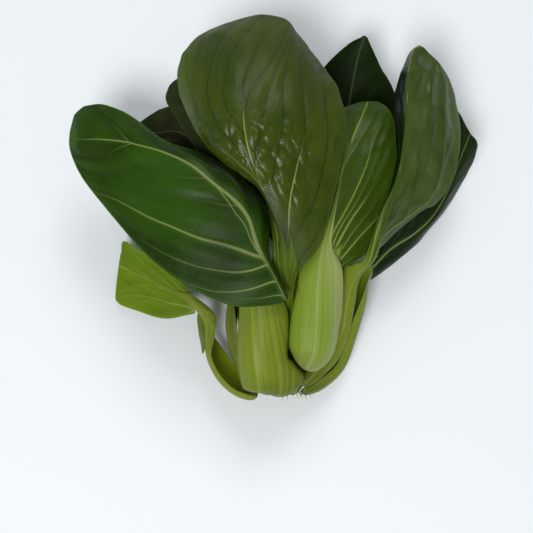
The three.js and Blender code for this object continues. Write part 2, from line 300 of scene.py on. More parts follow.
def turn_outward(mesh: bpy.types.Mesh) -> None:
    """Flips the faces of a closed mesh if they point inwards.

    Args:
        mesh: the closed mesh.
    """
    mesh.calc_loop_triangles()
    index = np.empty(len(mesh.loop_triangles) * 3, np.int32)
    mesh.loop_triangles.foreach_get("vertices", index)
    places = corners(mesh)
    tri = (places - places.mean(axis=0))[index.reshape(-1, 3)]
    if np.einsum("ij,ij->", tri[:, 0], np.cross(tri[:, 1], tri[:, 2])) < 0:
        mesh.flip_normals()


def show(name: str, mesh: bpy.types.Mesh, material: bpy.types.Material,
         slot: str, nodes: Sequence[str]) -> bpy.types.Object:
    """Makes an object of a finished mesh that rides on the head.

    Args:
        name: the piece's name.
        mesh: its mesh, in place.
        material: its finish.
        slot: the finish's slot; not used.
        nodes: the solids that the piece stands for.
    Returns:
        The new object.
    """
    turn_outward(mesh)
    mesh.name = name
    mesh.materials.append(material)
    mesh.shade_smooth()
    obj = put_in_scene(name, mesh)
    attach(obj, BODY)
    if nodes:
        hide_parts(*nodes)
    log.info("%s: %d faces", name, len(mesh.polygons))
    return obj


# ---------------------------------------------------------------- shader helpers


class Wire:
    """A node's output that can be used in plain arithmetic."""

    def __init__(self, graph: "Graph", socket: bpy.types.NodeSocket) -> None:
        """Keeps the socket and the graph that it belongs to."""
        self.graph = graph
        self.socket = socket

    def __add__(self, other: "Value") -> "Wire":
        """Adds."""
        return self.graph.maths("ADD", self, other)

    __radd__ = __add__

    def __sub__(self, other: "Value") -> "Wire":
        """Subtracts."""
        return self.graph.maths("SUBTRACT", self, other)

    def __rsub__(self, other: "Value") -> "Wire":
        """Subtracts from a number."""
        return self.graph.maths("SUBTRACT", other, self)

    def __mul__(self, other: "Value") -> "Wire":
        """Multiplies."""
        return self.graph.maths("MULTIPLY", self, other)

    __rmul__ = __mul__

    def __abs__(self) -> "Wire":
        """Drops the sign."""
        return self.graph.maths("ABSOLUTE", self)

    def clamp(self) -> "Wire":
        """Kept from 0 to 1."""
        return self.graph.maths("MINIMUM", self.graph.maths("MAXIMUM", self, 0.0), 1.0)


Value = Union[Wire, float]


class Graph:
    """The nodes of one material."""

    def __init__(self, name: str) -> None:
        """Starts an empty material.

        Args:
            name: the material's name.
        """
        self.material = bpy.data.materials.new(name)
        self.material.use_nodes = True
        self.tree = self.material.node_tree
        self.tree.nodes.clear()

    def add(self, kind: str, settings: Optional[dict[str, Any]] = None,
            sockets: Optional[dict[Any, Any]] = None) -> bpy.types.Node:
        """Adds a node.

        Args:
            kind: the node's type.
            settings: its properties, which are set first.
            sockets: values or wires for its inputs, by name or number.
        Returns:
            The node.
        """
        node = self.tree.nodes.new(kind)
        for key, value in (settings or {}).items():
            setattr(node, key, value)
        for key, value in (sockets or {}).items():
            if isinstance(value, Wire):
                self.tree.links.new(value.socket, node.inputs[key])
            else:
                node.inputs[key].default_value = value
        return node

    def maths(self, operation: str, *values: Value) -> Wire:
        """A Math node on one or two values."""
        node = self.add("ShaderNodeMath", {"operation": operation}, dict(enumerate(values)))
        return Wire(self, node.outputs[0])

    def soft_step(self, value: Value, low: Value, high: Value) -> Wire:
        """Rises softly from 0 at low to 1 at high."""
        node = self.add("ShaderNodeMapRange", {"interpolation_type": "SMOOTHSTEP"},
                        {"Value": value, "From Min": low, "From Max": high})
        return Wire(self, node.outputs[0])

    def blend(self, share: Value, first: Union[Wire, str], second: Union[Wire, str]) -> Wire:
        """Mixes two colours.

        Args:
            share: 0 for the first colour, 1 for the second.
            first: a wire or a hex code.
            second: a wire or a hex code.
        Returns:
            The mixed colour.
        """
        pair = [c if isinstance(c, Wire) else hex_colour(c) for c in (first, second)]
        node = self.add("ShaderNodeMix", {"data_type": "RGBA"},
                        {0: share, 6: pair[0], 7: pair[1]})
        return Wire(self, node.outputs[2])

    def attribute(self, name: str) -> list[Wire]:
        """Reads the three numbers that a mesh stores for each vertex.

        Args:
            name: the name that they are stored under.
        Returns:
            The three numbers.
        """
        source = self.add("ShaderNodeAttribute", {"attribute_name": name})
        split = self.add("ShaderNodeSeparateXYZ", None,
                         {0: Wire(self, source.outputs["Vector"])})
        return [Wire(self, split.outputs[i]) for i in range(3)]

    def vector(self, x: Value, y: Value, z: Value = 0.0) -> Wire:
        """Three numbers as one vector."""
        node = self.add("ShaderNodeCombineXYZ", None, {0: x, 1: y, 2: z})
        return Wire(self, node.outputs[0])

    def place(self) -> Wire:
        """The object coordinates."""
        return Wire(self, self.add("ShaderNodeTexCoord").outputs["Object"])

    def noise(self, where: Wire, scale: float, detail: float = 2.0, rough: float = 0.5) -> Wire:
        """Cloudy noise from 0 to 1."""
        node = self.add("ShaderNodeTexNoise", None,
                        {"Vector": where, "Scale": scale, "Detail": detail, "Roughness": rough})
        return Wire(self, node.outputs[0])

    def cell_edge(self, where: Wire, scale: float) -> Wire:
        """Distance to the nearest edge between random cells."""
        node = self.add("ShaderNodeTexVoronoi", {"feature": "DISTANCE_TO_EDGE"},
                        {"Vector": where, "Scale": scale, "Randomness": 1.0})
        return Wire(self, node.outputs[0])

    def finish(self, colour: Wire, roughness: Value, height: Wire, depth: float,
               constants: dict[str, float]) -> bpy.types.Material:
        """Ends the material in one Principled shader.

        Args:
            colour: the base colour.
            roughness: the roughness.
            height: the fine relief, about 0 to 1.
            depth: how far that relief stands out, in metres.
            constants: numbers for the shader's other sockets.
        Returns:
            The material.
        """
        bump = self.add("ShaderNodeBump", None,
                        {"Height": height, "Distance": depth, "Strength": 1.0})
        shader = self.add("ShaderNodeBsdfPrincipled", None,
                          {"Base Color": colour, "Roughness": roughness,
                           "Normal": Wire(self, bump.outputs[0]), **constants})
        output = self.add("ShaderNodeOutputMaterial")
        self.tree.links.new(shader.outputs[0], output.inputs[0])
        return self.material


# ---------------------------------------------------------------- finishes


@dataclass(frozen=True)
class BladeFinish:
    """The skin of a green blade: both faces, its veins and its gloss."""

    slot: str
    upper: str = "#2a4a12"            # face that looks towards the heart
    upper_light: str = "#3f6a1c"
    lower: str = "#4b6a2c"            # back of the leaf
    lower_light: str = "#5f7f38"
    vein: str = "#7f8f4a"
    # painted shade for the grooves of sunken side veins
    groove_shade: str = "#1d3a0c"
    foot: str = "#8a9e44"             # where the stalk runs into the blade
    foot_dark: str = "#5a7420"
    margin: str = "#4f7d22"
    painted_shade: str = "#0c1406"             # painted shade, for the darker patches
    vein_show: float = 1.0            # how clear the side veins are on the upper face
    sunken: float = 0.0               # share of painted shade in the grooves of the sunken side veins
    net_show: float = 0.25
    gloss: float = 0.36               # roughness of the upper face
    back_gloss: float = 0.5           # roughness of the back
    level: float = 0.4                # how much the skin mirrors

    WANDER, CLOUD, GRAIN = 70.0, 24.0, 1300.0    # noises, in cells a metre
    NET, FINE_NET = 300.0, 800.0      # the net of small veins, in cells a metre
    RELIEF = 0.00022                  # depth of the fine relief, in metres
    IOR = 1.45

    def dress(self, name: str) -> bpy.types.Material:
        """Builds the material.

        Args:
            name: the material's name.
        Returns:
            A material that reads the blade's own attributes.
        """
        g = Graph(name)
        left, right, pitch = g.attribute("veins")
        across, along, _ = g.attribute("leaf")
        edge, puff, under = g.attribute("skin")
        width, foot, rib_width = g.attribute("widths")
        spine, crease, rib_show = g.attribute("spine")
        light, dark, dull = g.attribute("tint")

        # how far each place lies from its side vein, the midrib and the fold
        plane = g.vector(across, along)
        wander = g.noise(plane, self.WANDER, 1.0) - 0.5
        side = g.maths("GREATER_THAN", across, 0.0)
        label = left * (1.0 - side) + right * side
        nearest = g.maths("ROUND", label)
        from_vein = abs((label - nearest) * pitch + wander * 0.35)
        rib_gap = abs(spine)

        strong = g.soft_step(width, 0.25, 1.3)
        vein_core = 1.0 - g.soft_step(from_vein, width * 0.1, width * 0.48 + 0.06)
        vein_halo = 1.0 - g.soft_step(from_vein, width * 0.3, width * 2.2 + 0.7)
        rib_core = (1.0 - g.soft_step(rib_gap, rib_width * 0.35, rib_width * 0.9)) * rib_show
        rib_halo = (1.0 - g.soft_step(rib_gap, rib_width * 0.6,
                                      rib_width * 2.0 + 1.0)) * rib_show
        fold = 1.0 - g.soft_step(abs(crease), 0.15, 0.5)

        warped = g.vector(across + wander * 0.0015, along * 0.8)
        net = 1.0 - g.soft_step(g.cell_edge(warped, self.NET), 0.0, 0.12)
        fine_net = 1.0 - g.soft_step(g.cell_edge(warped, self.FINE_NET), 0.0, 0.16)

        cloud = g.noise(plane, self.CLOUD, 3.0, 0.5)
        grain = g.noise(plane, self.GRAIN, 2.0, 0.6)
        # tone: random, and lighter on the puffs' domes than in the creases between them, which is
        # painted shade
        tone = g.soft_step(cloud + (puff - 0.4) * 0.16 + (grain - 0.5) * 0.06, 0.3, 0.74)

        # the two faces, then what lies on them, from the widest to the finest
        skin = g.blend(under, g.blend(tone, self.upper, self.upper_light),
                       g.blend(tone, self.lower, self.lower_light))
        skin = g.blend((1.0 - g.soft_step(edge, 0.3, 1.6)) * 0.5, skin, self.margin)
        skin = g.blend((net + fine_net * 0.4) * self.net_show * 0.5, skin, self.margin)
        halo = g.maths("MAXIMUM", vein_halo * strong * 0.4, rib_halo * 0.4)
        skin = g.blend(halo * (1.0 - self.sunken * 0.7), skin, self.margin)
        # lighter patches towards the margin green: painted highlight and sheen on the front left
        # leaf, a paler margin flap on the centre leaf
        skin = g.blend(light, skin, self.margin)
        # painted shade: darker along the grooves of the sunken side veins on the upper face
        if self.sunken > 0:
            groove = 1.0 - g.soft_step(from_vein, width * 0.25, width * 1.1 + 0.25)
            groove_shade_share = groove * self.sunken * (1.0 - under) * g.soft_step(width, 0.1, 0.5)
            skin = g.blend(groove_shade_share, skin, self.groove_shade)
            strong = g.soft_step(width, 0.62, 1.0)
        shown = vein_core * (self.vein_show * (1.0 - under) + under)
        skin = g.blend(shown * strong, skin, self.vein)
        rooty = g.blend(g.soft_step(foot, 0.35, 0.9), self.foot_dark, self.foot)
        skin = g.blend(g.soft_step(foot, 0.05, 0.5), skin, rooty)
        skin = g.blend(rib_core, skin, self.vein)
        skin = g.blend(fold * 0.7, skin, self.vein)
        # darker patches: painted shade in the darkest green
        skin = g.blend(dark, skin, self.painted_shade)

        rough = (self.gloss + (self.back_gloss - self.gloss) * under + dull
                 + (grain - 0.5) * 0.10 + (cloud - 0.5) * 0.08 + net * 0.02)
        relief = 0.5 - net * 0.12 - fine_net * 0.07 + (grain - 0.5) * 0.10
        if self.sunken > 0:
            relief = relief - vein_halo * 0.14 * (1.0 - under)
        relief = relief + vein_core * strong * (0.3 * under + 0.15)
        return g.finish(skin, rough, relief, self.RELIEF,
                        {"Specular IOR Level": self.level, "IOR": self.IOR})


@dataclass(frozen=True)
class StalkFinish:
    """The flesh of a stalk: pale at the base, greener towards the blade, with strings."""

    slot: str = "stalk"
    base: str = "#767e32"
    body: str = "#7c8c30"
    top: str = "#788c2c"
    stripe: str = "#5e7620"
    pale: str = "#98a45a"
    inner: str = "#56680f"
    gloss: float = 0.42
    stripe_show: float = 0.5
    pale_show: float = 0.45
    pale_side: float = 0.0             # 1 or -1: paler towards that edge
    green: str = "#46590f"             # the blade's own green, where the stalk runs into it
    green_from: float = 2.0            # parts of the stalk's length, past its end for never
    green_to: float = 3.0

    CLOUD, GRAIN = 55.0, 1400.0        # noises, in cells a metre
    RELIEF = 0.00018                   # depth of the fine relief, in metres

    def dress(self, name: str) -> bpy.types.Material:
        """Builds the material.

        Args:
            name: the material's name.
        Returns:
            A material that reads the stalk's own attributes.
        """
        g = Graph(name)
        side, facing, along = g.attribute("flesh")
        string, along_mm, _ = g.attribute("flesh_mm")
        strings = g.vector(string * 11.0, along_mm * 0.004, facing * 0.4)
        wide = g.noise(strings, 0.42, 2.0, 0.55)
        narrow = g.noise(strings, 1.9, 2.0, 0.6)
        cloud = g.noise(g.place(), self.CLOUD, 3.0, 0.5)
        grain = g.noise(g.place(), self.GRAIN, 2.0, 0.5)

        skin = g.blend(g.soft_step(along, 0.02, 0.25), self.base, self.body)
        skin = g.blend(g.soft_step(along + (wide - 0.5) * 0.4, 0.42, 0.85), skin, self.top)
        skin = g.blend(g.soft_step(narrow, 0.46, 0.72) * self.stripe_show, skin, self.stripe)
        skin = g.blend(g.soft_step(wide, 0.46, 0.72) * self.pale_show, skin, self.pale)
        if self.pale_side:
            pale_share = g.soft_step(side * self.pale_side, -0.35, 0.9) * 0.55
            skin = g.blend(pale_share, skin, self.pale)
        skin = g.blend(g.soft_step(facing * -1.0, 0.05, 0.5) * 0.85, skin, self.inner)
        skin = g.blend((cloud - 0.4).clamp() * 0.5, skin, self.stripe)
        if self.green_from < 1:
            place = along + (0.5 - wide) * 0.45
            skin = g.blend(g.soft_step(place, self.green_from, self.green_to), skin,
                           self.green)
        rough = self.gloss + (grain - 0.5) * 0.12 + (cloud - 0.5) * 0.16
        relief = 0.5 + (narrow - 0.5) * 0.5 + (grain - 0.5) * 0.08
        return g.finish(skin, rough, relief, self.RELIEF,
                        {"Specular IOR Level": 0.2, "IOR": 1.42})


@dataclass(frozen=True)
class CrownFinish:
    """The short stem base: pale sides, a drier brownish cut."""

    slot: str = "crown"
    side: str = "#c9d2a2"
    cut: str = "#c8c08e"
    dry: str = "#8d7747"

    CLOUD = 180.0                      # noise, in cells a metre
    RELIEF = 0.0005                    # depth of the fine relief, in metres

    def dress(self, name: str) -> bpy.types.Material:
        """Builds the material.

        Args:
            name: the material's name.
        Returns:
            A material that reads the crown's own attribute.
        """
        g = Graph(name)
        radius, on_cut, _ = g.attribute("stem")
        cloud = g.noise(g.place(), self.CLOUD, 4.0, 0.6)
        rings = g.maths("SINE", (radius * 26.0 + cloud * 5.0)) * 0.5 + 0.5
        skin = g.blend(on_cut, self.side, self.cut)
        brown = (g.soft_step(cloud, 0.42, 0.7) * 0.6 + rings * 0.35) * on_cut
        skin = g.blend(brown.clamp(), skin, self.dry)
        relief = cloud * 0.6 + rings * 0.4 * on_cut
        return g.finish(skin, 0.55 + (cloud - 0.5) * 0.2, relief, self.RELIEF,
                        {"Specular IOR Level": 0.4})


# ---------------------------------------------------------------- blades


class Density(Enum):
    """How fine a blade's mesh is: columns and rows."""

    HERO = (200, 180)
    MAIN = (140, 150)
    SIDE = (84, 90)


@dataclass(frozen=True)
class Vein:
    """A side vein, from where it leaves the midrib or the foot to where it meets the margin.

    The path holds places along the blade, 0 to 1, and from the midrib, 0, to the margin, 1.
    """

    path: tuple[tuple[float, float], ...]
    width: float = 0.6
    end_width: float = 0.15            # under 0, it fades out before its end

    @staticmethod
    def bowed(start: float, end: float, width: float) -> "Vein":
        """A vein from a place on the midrib to one on the margin, which swings off early."""
        steps = [k / 7 for k in range(8)]
        return Vein(tuple((start + (end - start) * s ** 0.8, s) for s in steps), width)


@dataclass(frozen=True)
class Patch:
    """A soft oval patch on a blade; the darker ones are painted shade."""

    u: float                           # its middle along the blade
    v: float                           # and across it
    length: float                      # half its length, as a part of the blade's
    breadth: float                     # half its breadth, as a part of the blade's side
    amount: float                      # above 0 lighter than the skin, under 0 darker with painted shade

    def at(self, u: Array, v: Array) -> Array:
        """How strong the patch is at each place, from 0 to 1."""
        away = np.hypot((u - self.u) / self.length, (v - self.v) / self.breadth)
        return 1 - ease(away, 0.45, 1.0)


@dataclass(frozen=True)
class Venation:
    """The side veins of a blade, and how it puffs between them."""

    left: tuple[Vein, ...]
    right: tuple[Vein, ...]
    quilt: float = 0.5                 # height of the puffs between the side veins, mm
    lift: float = 0.12                 # veins stand this much of their width above the skin
    wrinkle: float = 0.0               # height of the broad uneven bumps, mm
    wrinkle_size: float = 13.0
    blister: float = 0.0               # height of the small blisters, mm
    blister_size: float = 9.0
    blister_span: tuple[float, float] = (0.2, 0.7)

    @staticmethod
    def even(count: int, high: float = 0.8, width: float = 0.5, **rest: Any) -> "Venation":
        """Side veins at even steps, the two sides half a step apart.

        Args:
            count: side veins on each side.
            high: where the last one starts.
            width: their width, in millimetres.
            rest: the other fields.
        Returns:
            The venation.
        """
        low, lean = 0.02, 0.3

        def vein(t: float) -> Vein:
            """The vein at a place in the row, from 0 to 1."""
            end = low + (high - low) * t ** 0.9 + lean * (1 - 0.6 * t)
            return Vein.bowed(low + (high - low) * t ** 1.5, min(end, 1.0 + 0.1 * t),
                              width * (1 - 0.4 * t))

        left, right = (tuple(vein((k + shift) / count) for k in range(count))
                       for shift in (0.0, 0.5))
        return Venation(left, right, **rest)


class VeinMap:
    """Finds, for any place on one side of a blade, the two side veins that it lies between."""

    REACH = 12.0                       # past the last vein, distances count up to half of this
    PIECES = 32                        # straight pieces that stand for one vein

    def __init__(self, veins: Sequence[Vein], to_plane: Callable[[Array, Array], Array]) -> None:
        """Lays the veins out flat.

        Args:
            veins: the veins of the side, from the foot to the tip.
            to_plane: turns places u and s into millimetres across and along.
        """
        self.lines = []
        for vein in veins:
            steps = np.linspace(0, 1, self.PIECES + 1)
            way = curve_through(np.array(vein.path, float), steps)
            self.lines.append(to_plane(way[:, 0], way[:, 1]))
        self.widths = [np.linspace(v.width, v.end_width, self.PIECES) for v in veins]

    def read(self, x: Array, y: Array) -> tuple[Array, Array, Array]:
        """Numbers the side so that each vein lies on a whole number.

        Args:
            x: millimetres from the midrib.
            y: millimetres along the blade.
        Returns:
            The number, the distance between the two veins, and the vein width.
        """
        gaps, widths, sides = [], [], []
        rows = np.arange(len(x))
        for line, width in zip(self.lines, self.widths):
            start, way = line[:-1], np.diff(line, axis=0)
            dx, dy = np.subtract.outer(x, start[:, 0]), np.subtract.outer(y, start[:, 1])
            along = np.clip((dx * way[:, 0] + dy * way[:, 1]) / np.sum(way * way, axis=1), 0, 1)
            reach = np.hypot(dx - along * way[:, 0], dy - along * way[:, 1])
            best = reach.argmin(axis=1)
            gaps.append(reach[rows, best])
            widths.append(width[best])
            sides.append(way[best, 0] * dy[rows, best] - way[best, 1] * dx[rows, best] > 0)
        gap, wide = np.stack(gaps), np.stack(widths)
        count = len(gaps)
        above = np.sum(sides, axis=0)
        low, high = np.clip(above - 1, 0, count - 1), np.clip(above, 0, count - 1)
        near, far = gap[low, rows], gap[high, rows]
        pitch = np.where((above == 0) | (above == count), self.REACH, near + far)
        part = near / np.maximum(near + far, 1e-6)
        past = np.minimum(near / self.REACH, 0.5)
        number = above - 1 + part
        number = np.where(above == 0, -past, np.where(above == count, count - 1 + past, number))
        between = (above > 0) & (above < count)
        width = np.where(between, wide[low, rows] * (1 - part) + wide[high, rows] * part,
                         wide[low, rows])
        return number, pitch, width


@dataclass(frozen=True)
class Sheet:
    """The places of a blade's mesh, one number of each kind for every place."""

    u: Array                           # along the blade, from 0 to 1
    v: Array                           # across it, from -1 on the left to 1
    x: Array                           # millimetres from the midrib's rail
    y: Array                           # millimetres along the blade
    edge: Array                        # millimetres to the margin

    @property
    def s(self) -> Array:
        """How far out each place lies, from 0 on the midrib's rail to 1."""
        return np.abs(self.v)

    @property
    def signed(self) -> Array:
        """Millimetres from the midrib's rail, under 0 on the left."""
        return self.x * np.sign(self.v)


class Draw(Enum):
    """The random patterns of a leaf, and what each adds to the leaf's seed."""

    SWELL = 0
    RIPPLE = 9
    STREAK = 31
    BLISTER = 50
    BEAD = 51
    WRINKLE = 60
    BEND = 61
    WARP = 70
    PATCHY = 71


@dataclass(frozen=True)
class Leaf:
    """One leaf: a fleshy stalk and a green blade on the solids' own curves.

    Petiole rows are x, y, z of the stalk's inner face, its width and thickness, and
    the way its outer face looks in degrees. Blade rows are left edge, midrib and
    right edge. All in millimetres.
    """

    name: str
    petiole: tuple[Row, ...]
    blade: tuple[tuple[Row, Row, Row], ...]
    blade_finish: BladeFinish
    stalk_finish: StalkFinish
    venation: Venation
    seed: int
    density: Density = Density.SIDE
    wave_height: float = 0.8           # height of the broad waves at the margin, mm
    wave_count: int = 3
    rib_from: float = 0.0              # where on the blade the stalk turns into the midrib
    rib_reach: float = 0.9             # and where the midrib's tube ends
    rib_end: tuple[float, float] = (0.9, 0.35)      # the tube's width and thickness there, mm
    ridge: float = 0.35                # height of the midrib on the upper face, mm
    ridge_width: float = 1.0
    ridge_taper: float = 0.78          # how much of that width is gone at the tip
    rib_show: Table = ((0, 1), (1, 1))              # how pale the midrib is
    rib_fade: float = 1.6              # how fast the stalk narrows into the midrib
    rib_shift: Table = ((0, 0), (1, 0))             # midrib off its rail, mm
    crease: Table = ()                 # a thin fold line beside it, mm, up to its last place
    foot: tuple[float, float] = (0.0, 0.12)         # the stalk's colour ends in here
    foot_half: float = 30.0            # and reaches this far from the midrib, mm
    foot_ridge: float = 0.0            # height of the streaks at the foot, mm
    patches: tuple[Patch, ...] = ()
    dull: Table = ((0, 0), (1, 0))     # roughness added along it
    thick: float = 0.28                # half the blade's thickness, mm
    tip_round: tuple[float, float] = (0.05, 0.5)    # length and breadth of the round corners
    foot_round: tuple[float, float] = (0.02, 0.5)
    ruffle: float = 0.35               # small waves near the margin, mm
    strings: int = 7                   # lengthwise ribs on the stalk's outside
    groove: float = 0.22               # depth of the grooves between them, mm
    rib_sink: float = 0.05             # gap between the blade and the midrib's tube, mm

    NO_LINE = 99.0                     # a gap that stands for no fold line at all, mm
    RIB_CALM = 3.5                     # the skin lies flat this close to the midrib, mm
    EDGE_CALM = 7.0                    # and this close to the margin, mm
    FULL_PITCH = 9.0                   # veins this far apart have puffs of full height, mm
    SWELL_HEIGHT = 0.5                 # height of the broad soft hills, mm
    FOLD_DEPTH = 0.2                   # how far the skin sinks beside the fold line, mm
    CREST = 0.62                       # half the breadth of a vein's crest, in vein widths
    EDGE_THIN = 0.55                   # how much of the thickness is gone at the margin
    WRAP = 0.16                        # how far a stalk's edges bend back, in stalk widths
    ROOT_ROUND = 4.0                   # length of the stalk's rounded root, mm
    END_TAPER = 6.0                    # length over which the midrib's tube ends, mm
    RIB_SHARE = (0.85, 0.75)           # the tube starts at these parts of the stalk's last size
    FINE_STRINGS = 2.7                 # fine strings to each broad one

    def hills(self, which: Draw, size: float) -> Swell:
        """The leaf's own soft hills, at a size in the units that they are read in."""
        return Swell(self.seed + which.value, size)

    def cells(self, which: Draw, size: float, span: float, stretch: float = 1.3) -> Blisters:
        """The leaf's own puffed cells, with sizes in millimetres."""
        return Blisters(self.seed + which.value, size, span, stretch)

    # ---- the blade as a surface ----

    def rails(self) -> tuple[Array, Array, Array]:
        """The left edge, the midrib and the right edge, in millimetres."""
        rows = np.array(self.blade, float) - MIDDLE
        return rows[:, 0], rows[:, 1], rows[:, 2]

    def frame(self, u: Array) -> tuple[Array, Array, Array, Array, Array]:
        """The blade's rails, and how it lies, at places along it.

        Args:
            u: the places, from 0 at the foot to 1 at the tip.
        Returns:
            The midrib's place, the way to the left edge and to the right one, and the
            directions across and up.
        """
        left, rib, right = self.rails()
        middle = curve_through(rib, u)
        to_left = curve_through(left, u) - middle
        to_right = curve_through(right, u) - middle
        across = unit(to_right - to_left)
        step = 1e-4
        along = unit(curve_through(rib, np.clip(u + step, 0, 1))
                     - curve_through(rib, np.clip(u - step, 0, 1)))
        return middle, to_left, to_right, across, unit(np.cross(across, along))

    def point(self, u: Array, v: Array) -> Array:
        """The blade's middle layer.

        Args:
            u: places from foot to tip, 0 to 1.
            v: places from the left edge to the right one, -1 to 1.
        Returns:
            One point for each place, in millimetres.
        """
        middle, to_left, to_right, across, up = self.frame(u)
        s = np.abs(v)[:, None]
        edge = np.where(v[:, None] < 0, to_left, to_right)
        level = across * np.sum(edge * across, axis=1, keepdims=True)
        swing = np.sin(FULL_TURN * self.wave_count * u + np.where(v < 0, 0.0, 2.0))
        wave = self.wave_height * s[:, 0] ** 3 * swing * np.sin(math.pi * u)
        return middle + level * s + (edge - level) * s * s + up * wave[:, None]

    def normal(self, u: Array, v: Array) -> Array:
        """The way out of the upper face.

        Args:
            u: places from foot to tip.
            v: places from the left edge to the right one.
        Returns:
            One direction for each place.
        """
        step = 0.004
        along = self.point(np.minimum(u + step, 1), v) - self.point(np.maximum(u - step, 0), v)
        across = self.point(u, np.minimum(v + step, 1)) - self.point(u, np.maximum(v - step, -1))
        return unit(np.cross(across, along))

    # ---- blade ----

    def rib_length(self, u: Array) -> Array:
        """Millimetres along the midrib's rail at u."""
        samples = np.linspace(0, 1, 200)
        return np.interp(u, samples, length_along(curve_through(self.rails()[1], samples)))

    def lay_out(self) -> Sheet:
        """Spreads the rows and columns of the mesh over the blade and rounds its corners.

        Returns:
            The places, row by row.
        """
        columns, rows = self.density.value
        t, v = np.meshgrid(np.linspace(0, 1, rows + 1), np.linspace(-1, 1, columns + 1),
                           indexing="ij")
        t, v = t.ravel(), v.ravel()
        s = np.abs(v)

        def corner(amount: tuple[float, float]) -> Array:
            """How much of the length a rounded corner takes at each place."""
            depth, share = amount
            into = np.clip((s - (1 - share)) / share, 0, 1)
            return depth * (1 - np.sqrt(np.maximum(1 - into ** 2, 0)))

        start, end = corner(self.foot_round), 1 - corner(self.tip_round)
        u = start + (end - start) * t
        _, to_left, to_right, _, _ = self.frame(u)
        half = np.linalg.norm(np.where(v[:, None] < 0, to_left, to_right), axis=1)
        edge = np.minimum((1 - s) * half, (end - u) * self.rib_length(1.0) + 0.4)
        return Sheet(u, v, s * half, self.rib_length(u), edge)

    def find_veins(self, sheet: Sheet) -> tuple[Array, Array, Array, Array, Array]:
        """Numbers both sides of the blade by their side veins.

        Args:
            sheet: the places of the mesh.
        Returns:
            The numbers of the left side, those of the right side, and the number, the
            pitch and the vein width of the side that each place lies on.
        """
        def to_plane(side: int) -> Callable[[Array, Array], Array]:
            """Gives the flat layout of one side.

            Args:
                side: 1 for the left side, 2 for the right one.
            Returns:
                A function that turns places u and s into millimetres across and along.
            """
            def lay(at: Array, out: Array) -> Array:
                """Lays places of that side out flat."""
                reach = np.linalg.norm(self.frame(at)[side], axis=1)
                return np.stack([out * reach, self.rib_length(at)], axis=1)
            return lay

        sides = ((1, self.venation.left, sheet.v < 0), (2, self.venation.right, sheet.v > 0))
        left, right = (VeinMap(veins, to_plane(side)).read(np.where(here, sheet.x, 0), sheet.y)
                       for side, veins, here in sides)
        label, pitch, width = (np.where(sheet.v < 0, one, other)
                               for one, other in zip(left, right))
        return left[0], right[0], label, pitch, np.maximum(width, 0.05)

    def puffs(self, sheet: Sheet, label: Array, pitch: Array) -> Array:
        """The height of the puffs between the veins, with the wrinkles and the blisters.

        Args:
            sheet: the places of the mesh.
            label: their numbers between the side veins.
            pitch: the distance between those veins.
        Returns:
            The height at each place, in millimetres.
        """
        veins, signed, y = self.venation, sheet.signed, sheet.y
        arch = np.sin(math.pi * label) ** 2
        puff = arch * veins.quilt * np.clip(pitch / self.FULL_PITCH, 0.3, 1.3)
        if veins.wrinkle > 0:
            bumps = self.cells(Draw.WRINKLE, veins.wrinkle_size, 130, 1.5)
            bend = self.hills(Draw.BEND, 18)
            puff = puff + veins.wrinkle * bumps.dome(
                signed + 3 * bend.at(y, signed), y - 0.5 * sheet.x + 3 * bend.at(signed, y))
        if veins.blister > 0:
            puff = puff + self.blisters(sheet)
        return puff

    def blisters(self, sheet: Sheet) -> Array:
        """The height of the small blisters.

        Args:
            sheet: the places of the mesh.
        Returns:
            The height at each place, in millimetres.
        """
        veins, signed, y = self.venation, sheet.signed, sheet.y
        low, high = veins.blister_span
        share = (ease(sheet.u, low - 0.06, low + 0.06)
                 * (1 - ease(sheet.u, high - 0.08, high + 0.12)))
        warp = self.hills(Draw.WARP, 14)
        cells = self.cells(Draw.BLISTER, veins.blister_size, 110)
        domes = cells.at(signed + 3 + 2.6 * warp.at(y, signed), y + 2.6 * warp.at(signed, y),
                         share > 0.001)
        fine = self.cells(Draw.BEAD, veins.blister_size * 0.5, 110)
        beads = fine.at(signed + 1.5 * warp.at(signed, y), y, share > 0.001)
        patchy = 0.75 + 0.5 * self.hills(Draw.PATCHY, 30).at(signed, y)
        return (domes + 0.25 * beads) * veins.blister * share * np.clip(patchy, 0.3, 1)

    def foot_share(self, sheet: Sheet, streak: Array) -> Array:
        """How much of the stalk's colour each place has.

        Args:
            sheet: the places of the mesh.
            streak: the uneven streaks that end it.
        Returns:
            The share, from 0 to 1.
        """
        low, high = self.foot
        reach = low + (high - low) * np.clip(0.6 + 0.45 * streak, 0.15, 1.2)
        share = 1 - ease(sheet.u, reach - 0.3 * np.abs(reach), reach + 0.02)
        return share * (1 - ease(np.abs(sheet.signed) + streak, self.foot_half * 0.7,
                                 self.foot_half))

    def patch_tint(self, sheet: Sheet, sign: int) -> Array:
        """How strong the patches of one kind are at each place.

        Args:
            sheet: the places of the mesh.
            sign: 1 for the lighter patches, -1 for the darker ones of painted shade.
        Returns:
            The share of the patch's colour, from 0 to 1.
        """
        tint = np.zeros(len(sheet.u))
        for patch in self.patches:
            if patch.amount * sign > 0:
                tint = np.maximum(tint, patch.at(sheet.u, sheet.v) * abs(patch.amount))
        return tint

    def build_blade(self) -> bpy.types.Mesh:
        """Shapes the blade: two skins, veins, puffs and a thin margin.

        Returns:
            The mesh, in place.
        """
        sheet = self.lay_out()
        u, v, s, y = sheet.u, sheet.v, sheet.s, sheet.y
        edge, signed = sheet.edge, sheet.signed
        left, right, label, pitch, width = self.find_veins(sheet)

        rib_line = read_table(self.rib_shift, u)
        rib_gap = signed - rib_line
        crease_gap = np.full(len(u), self.NO_LINE)
        if self.crease:
            crease_line = read_table(self.crease, u)
            crease_gap = np.where(u < self.crease[-1][0], signed - crease_line, self.NO_LINE)

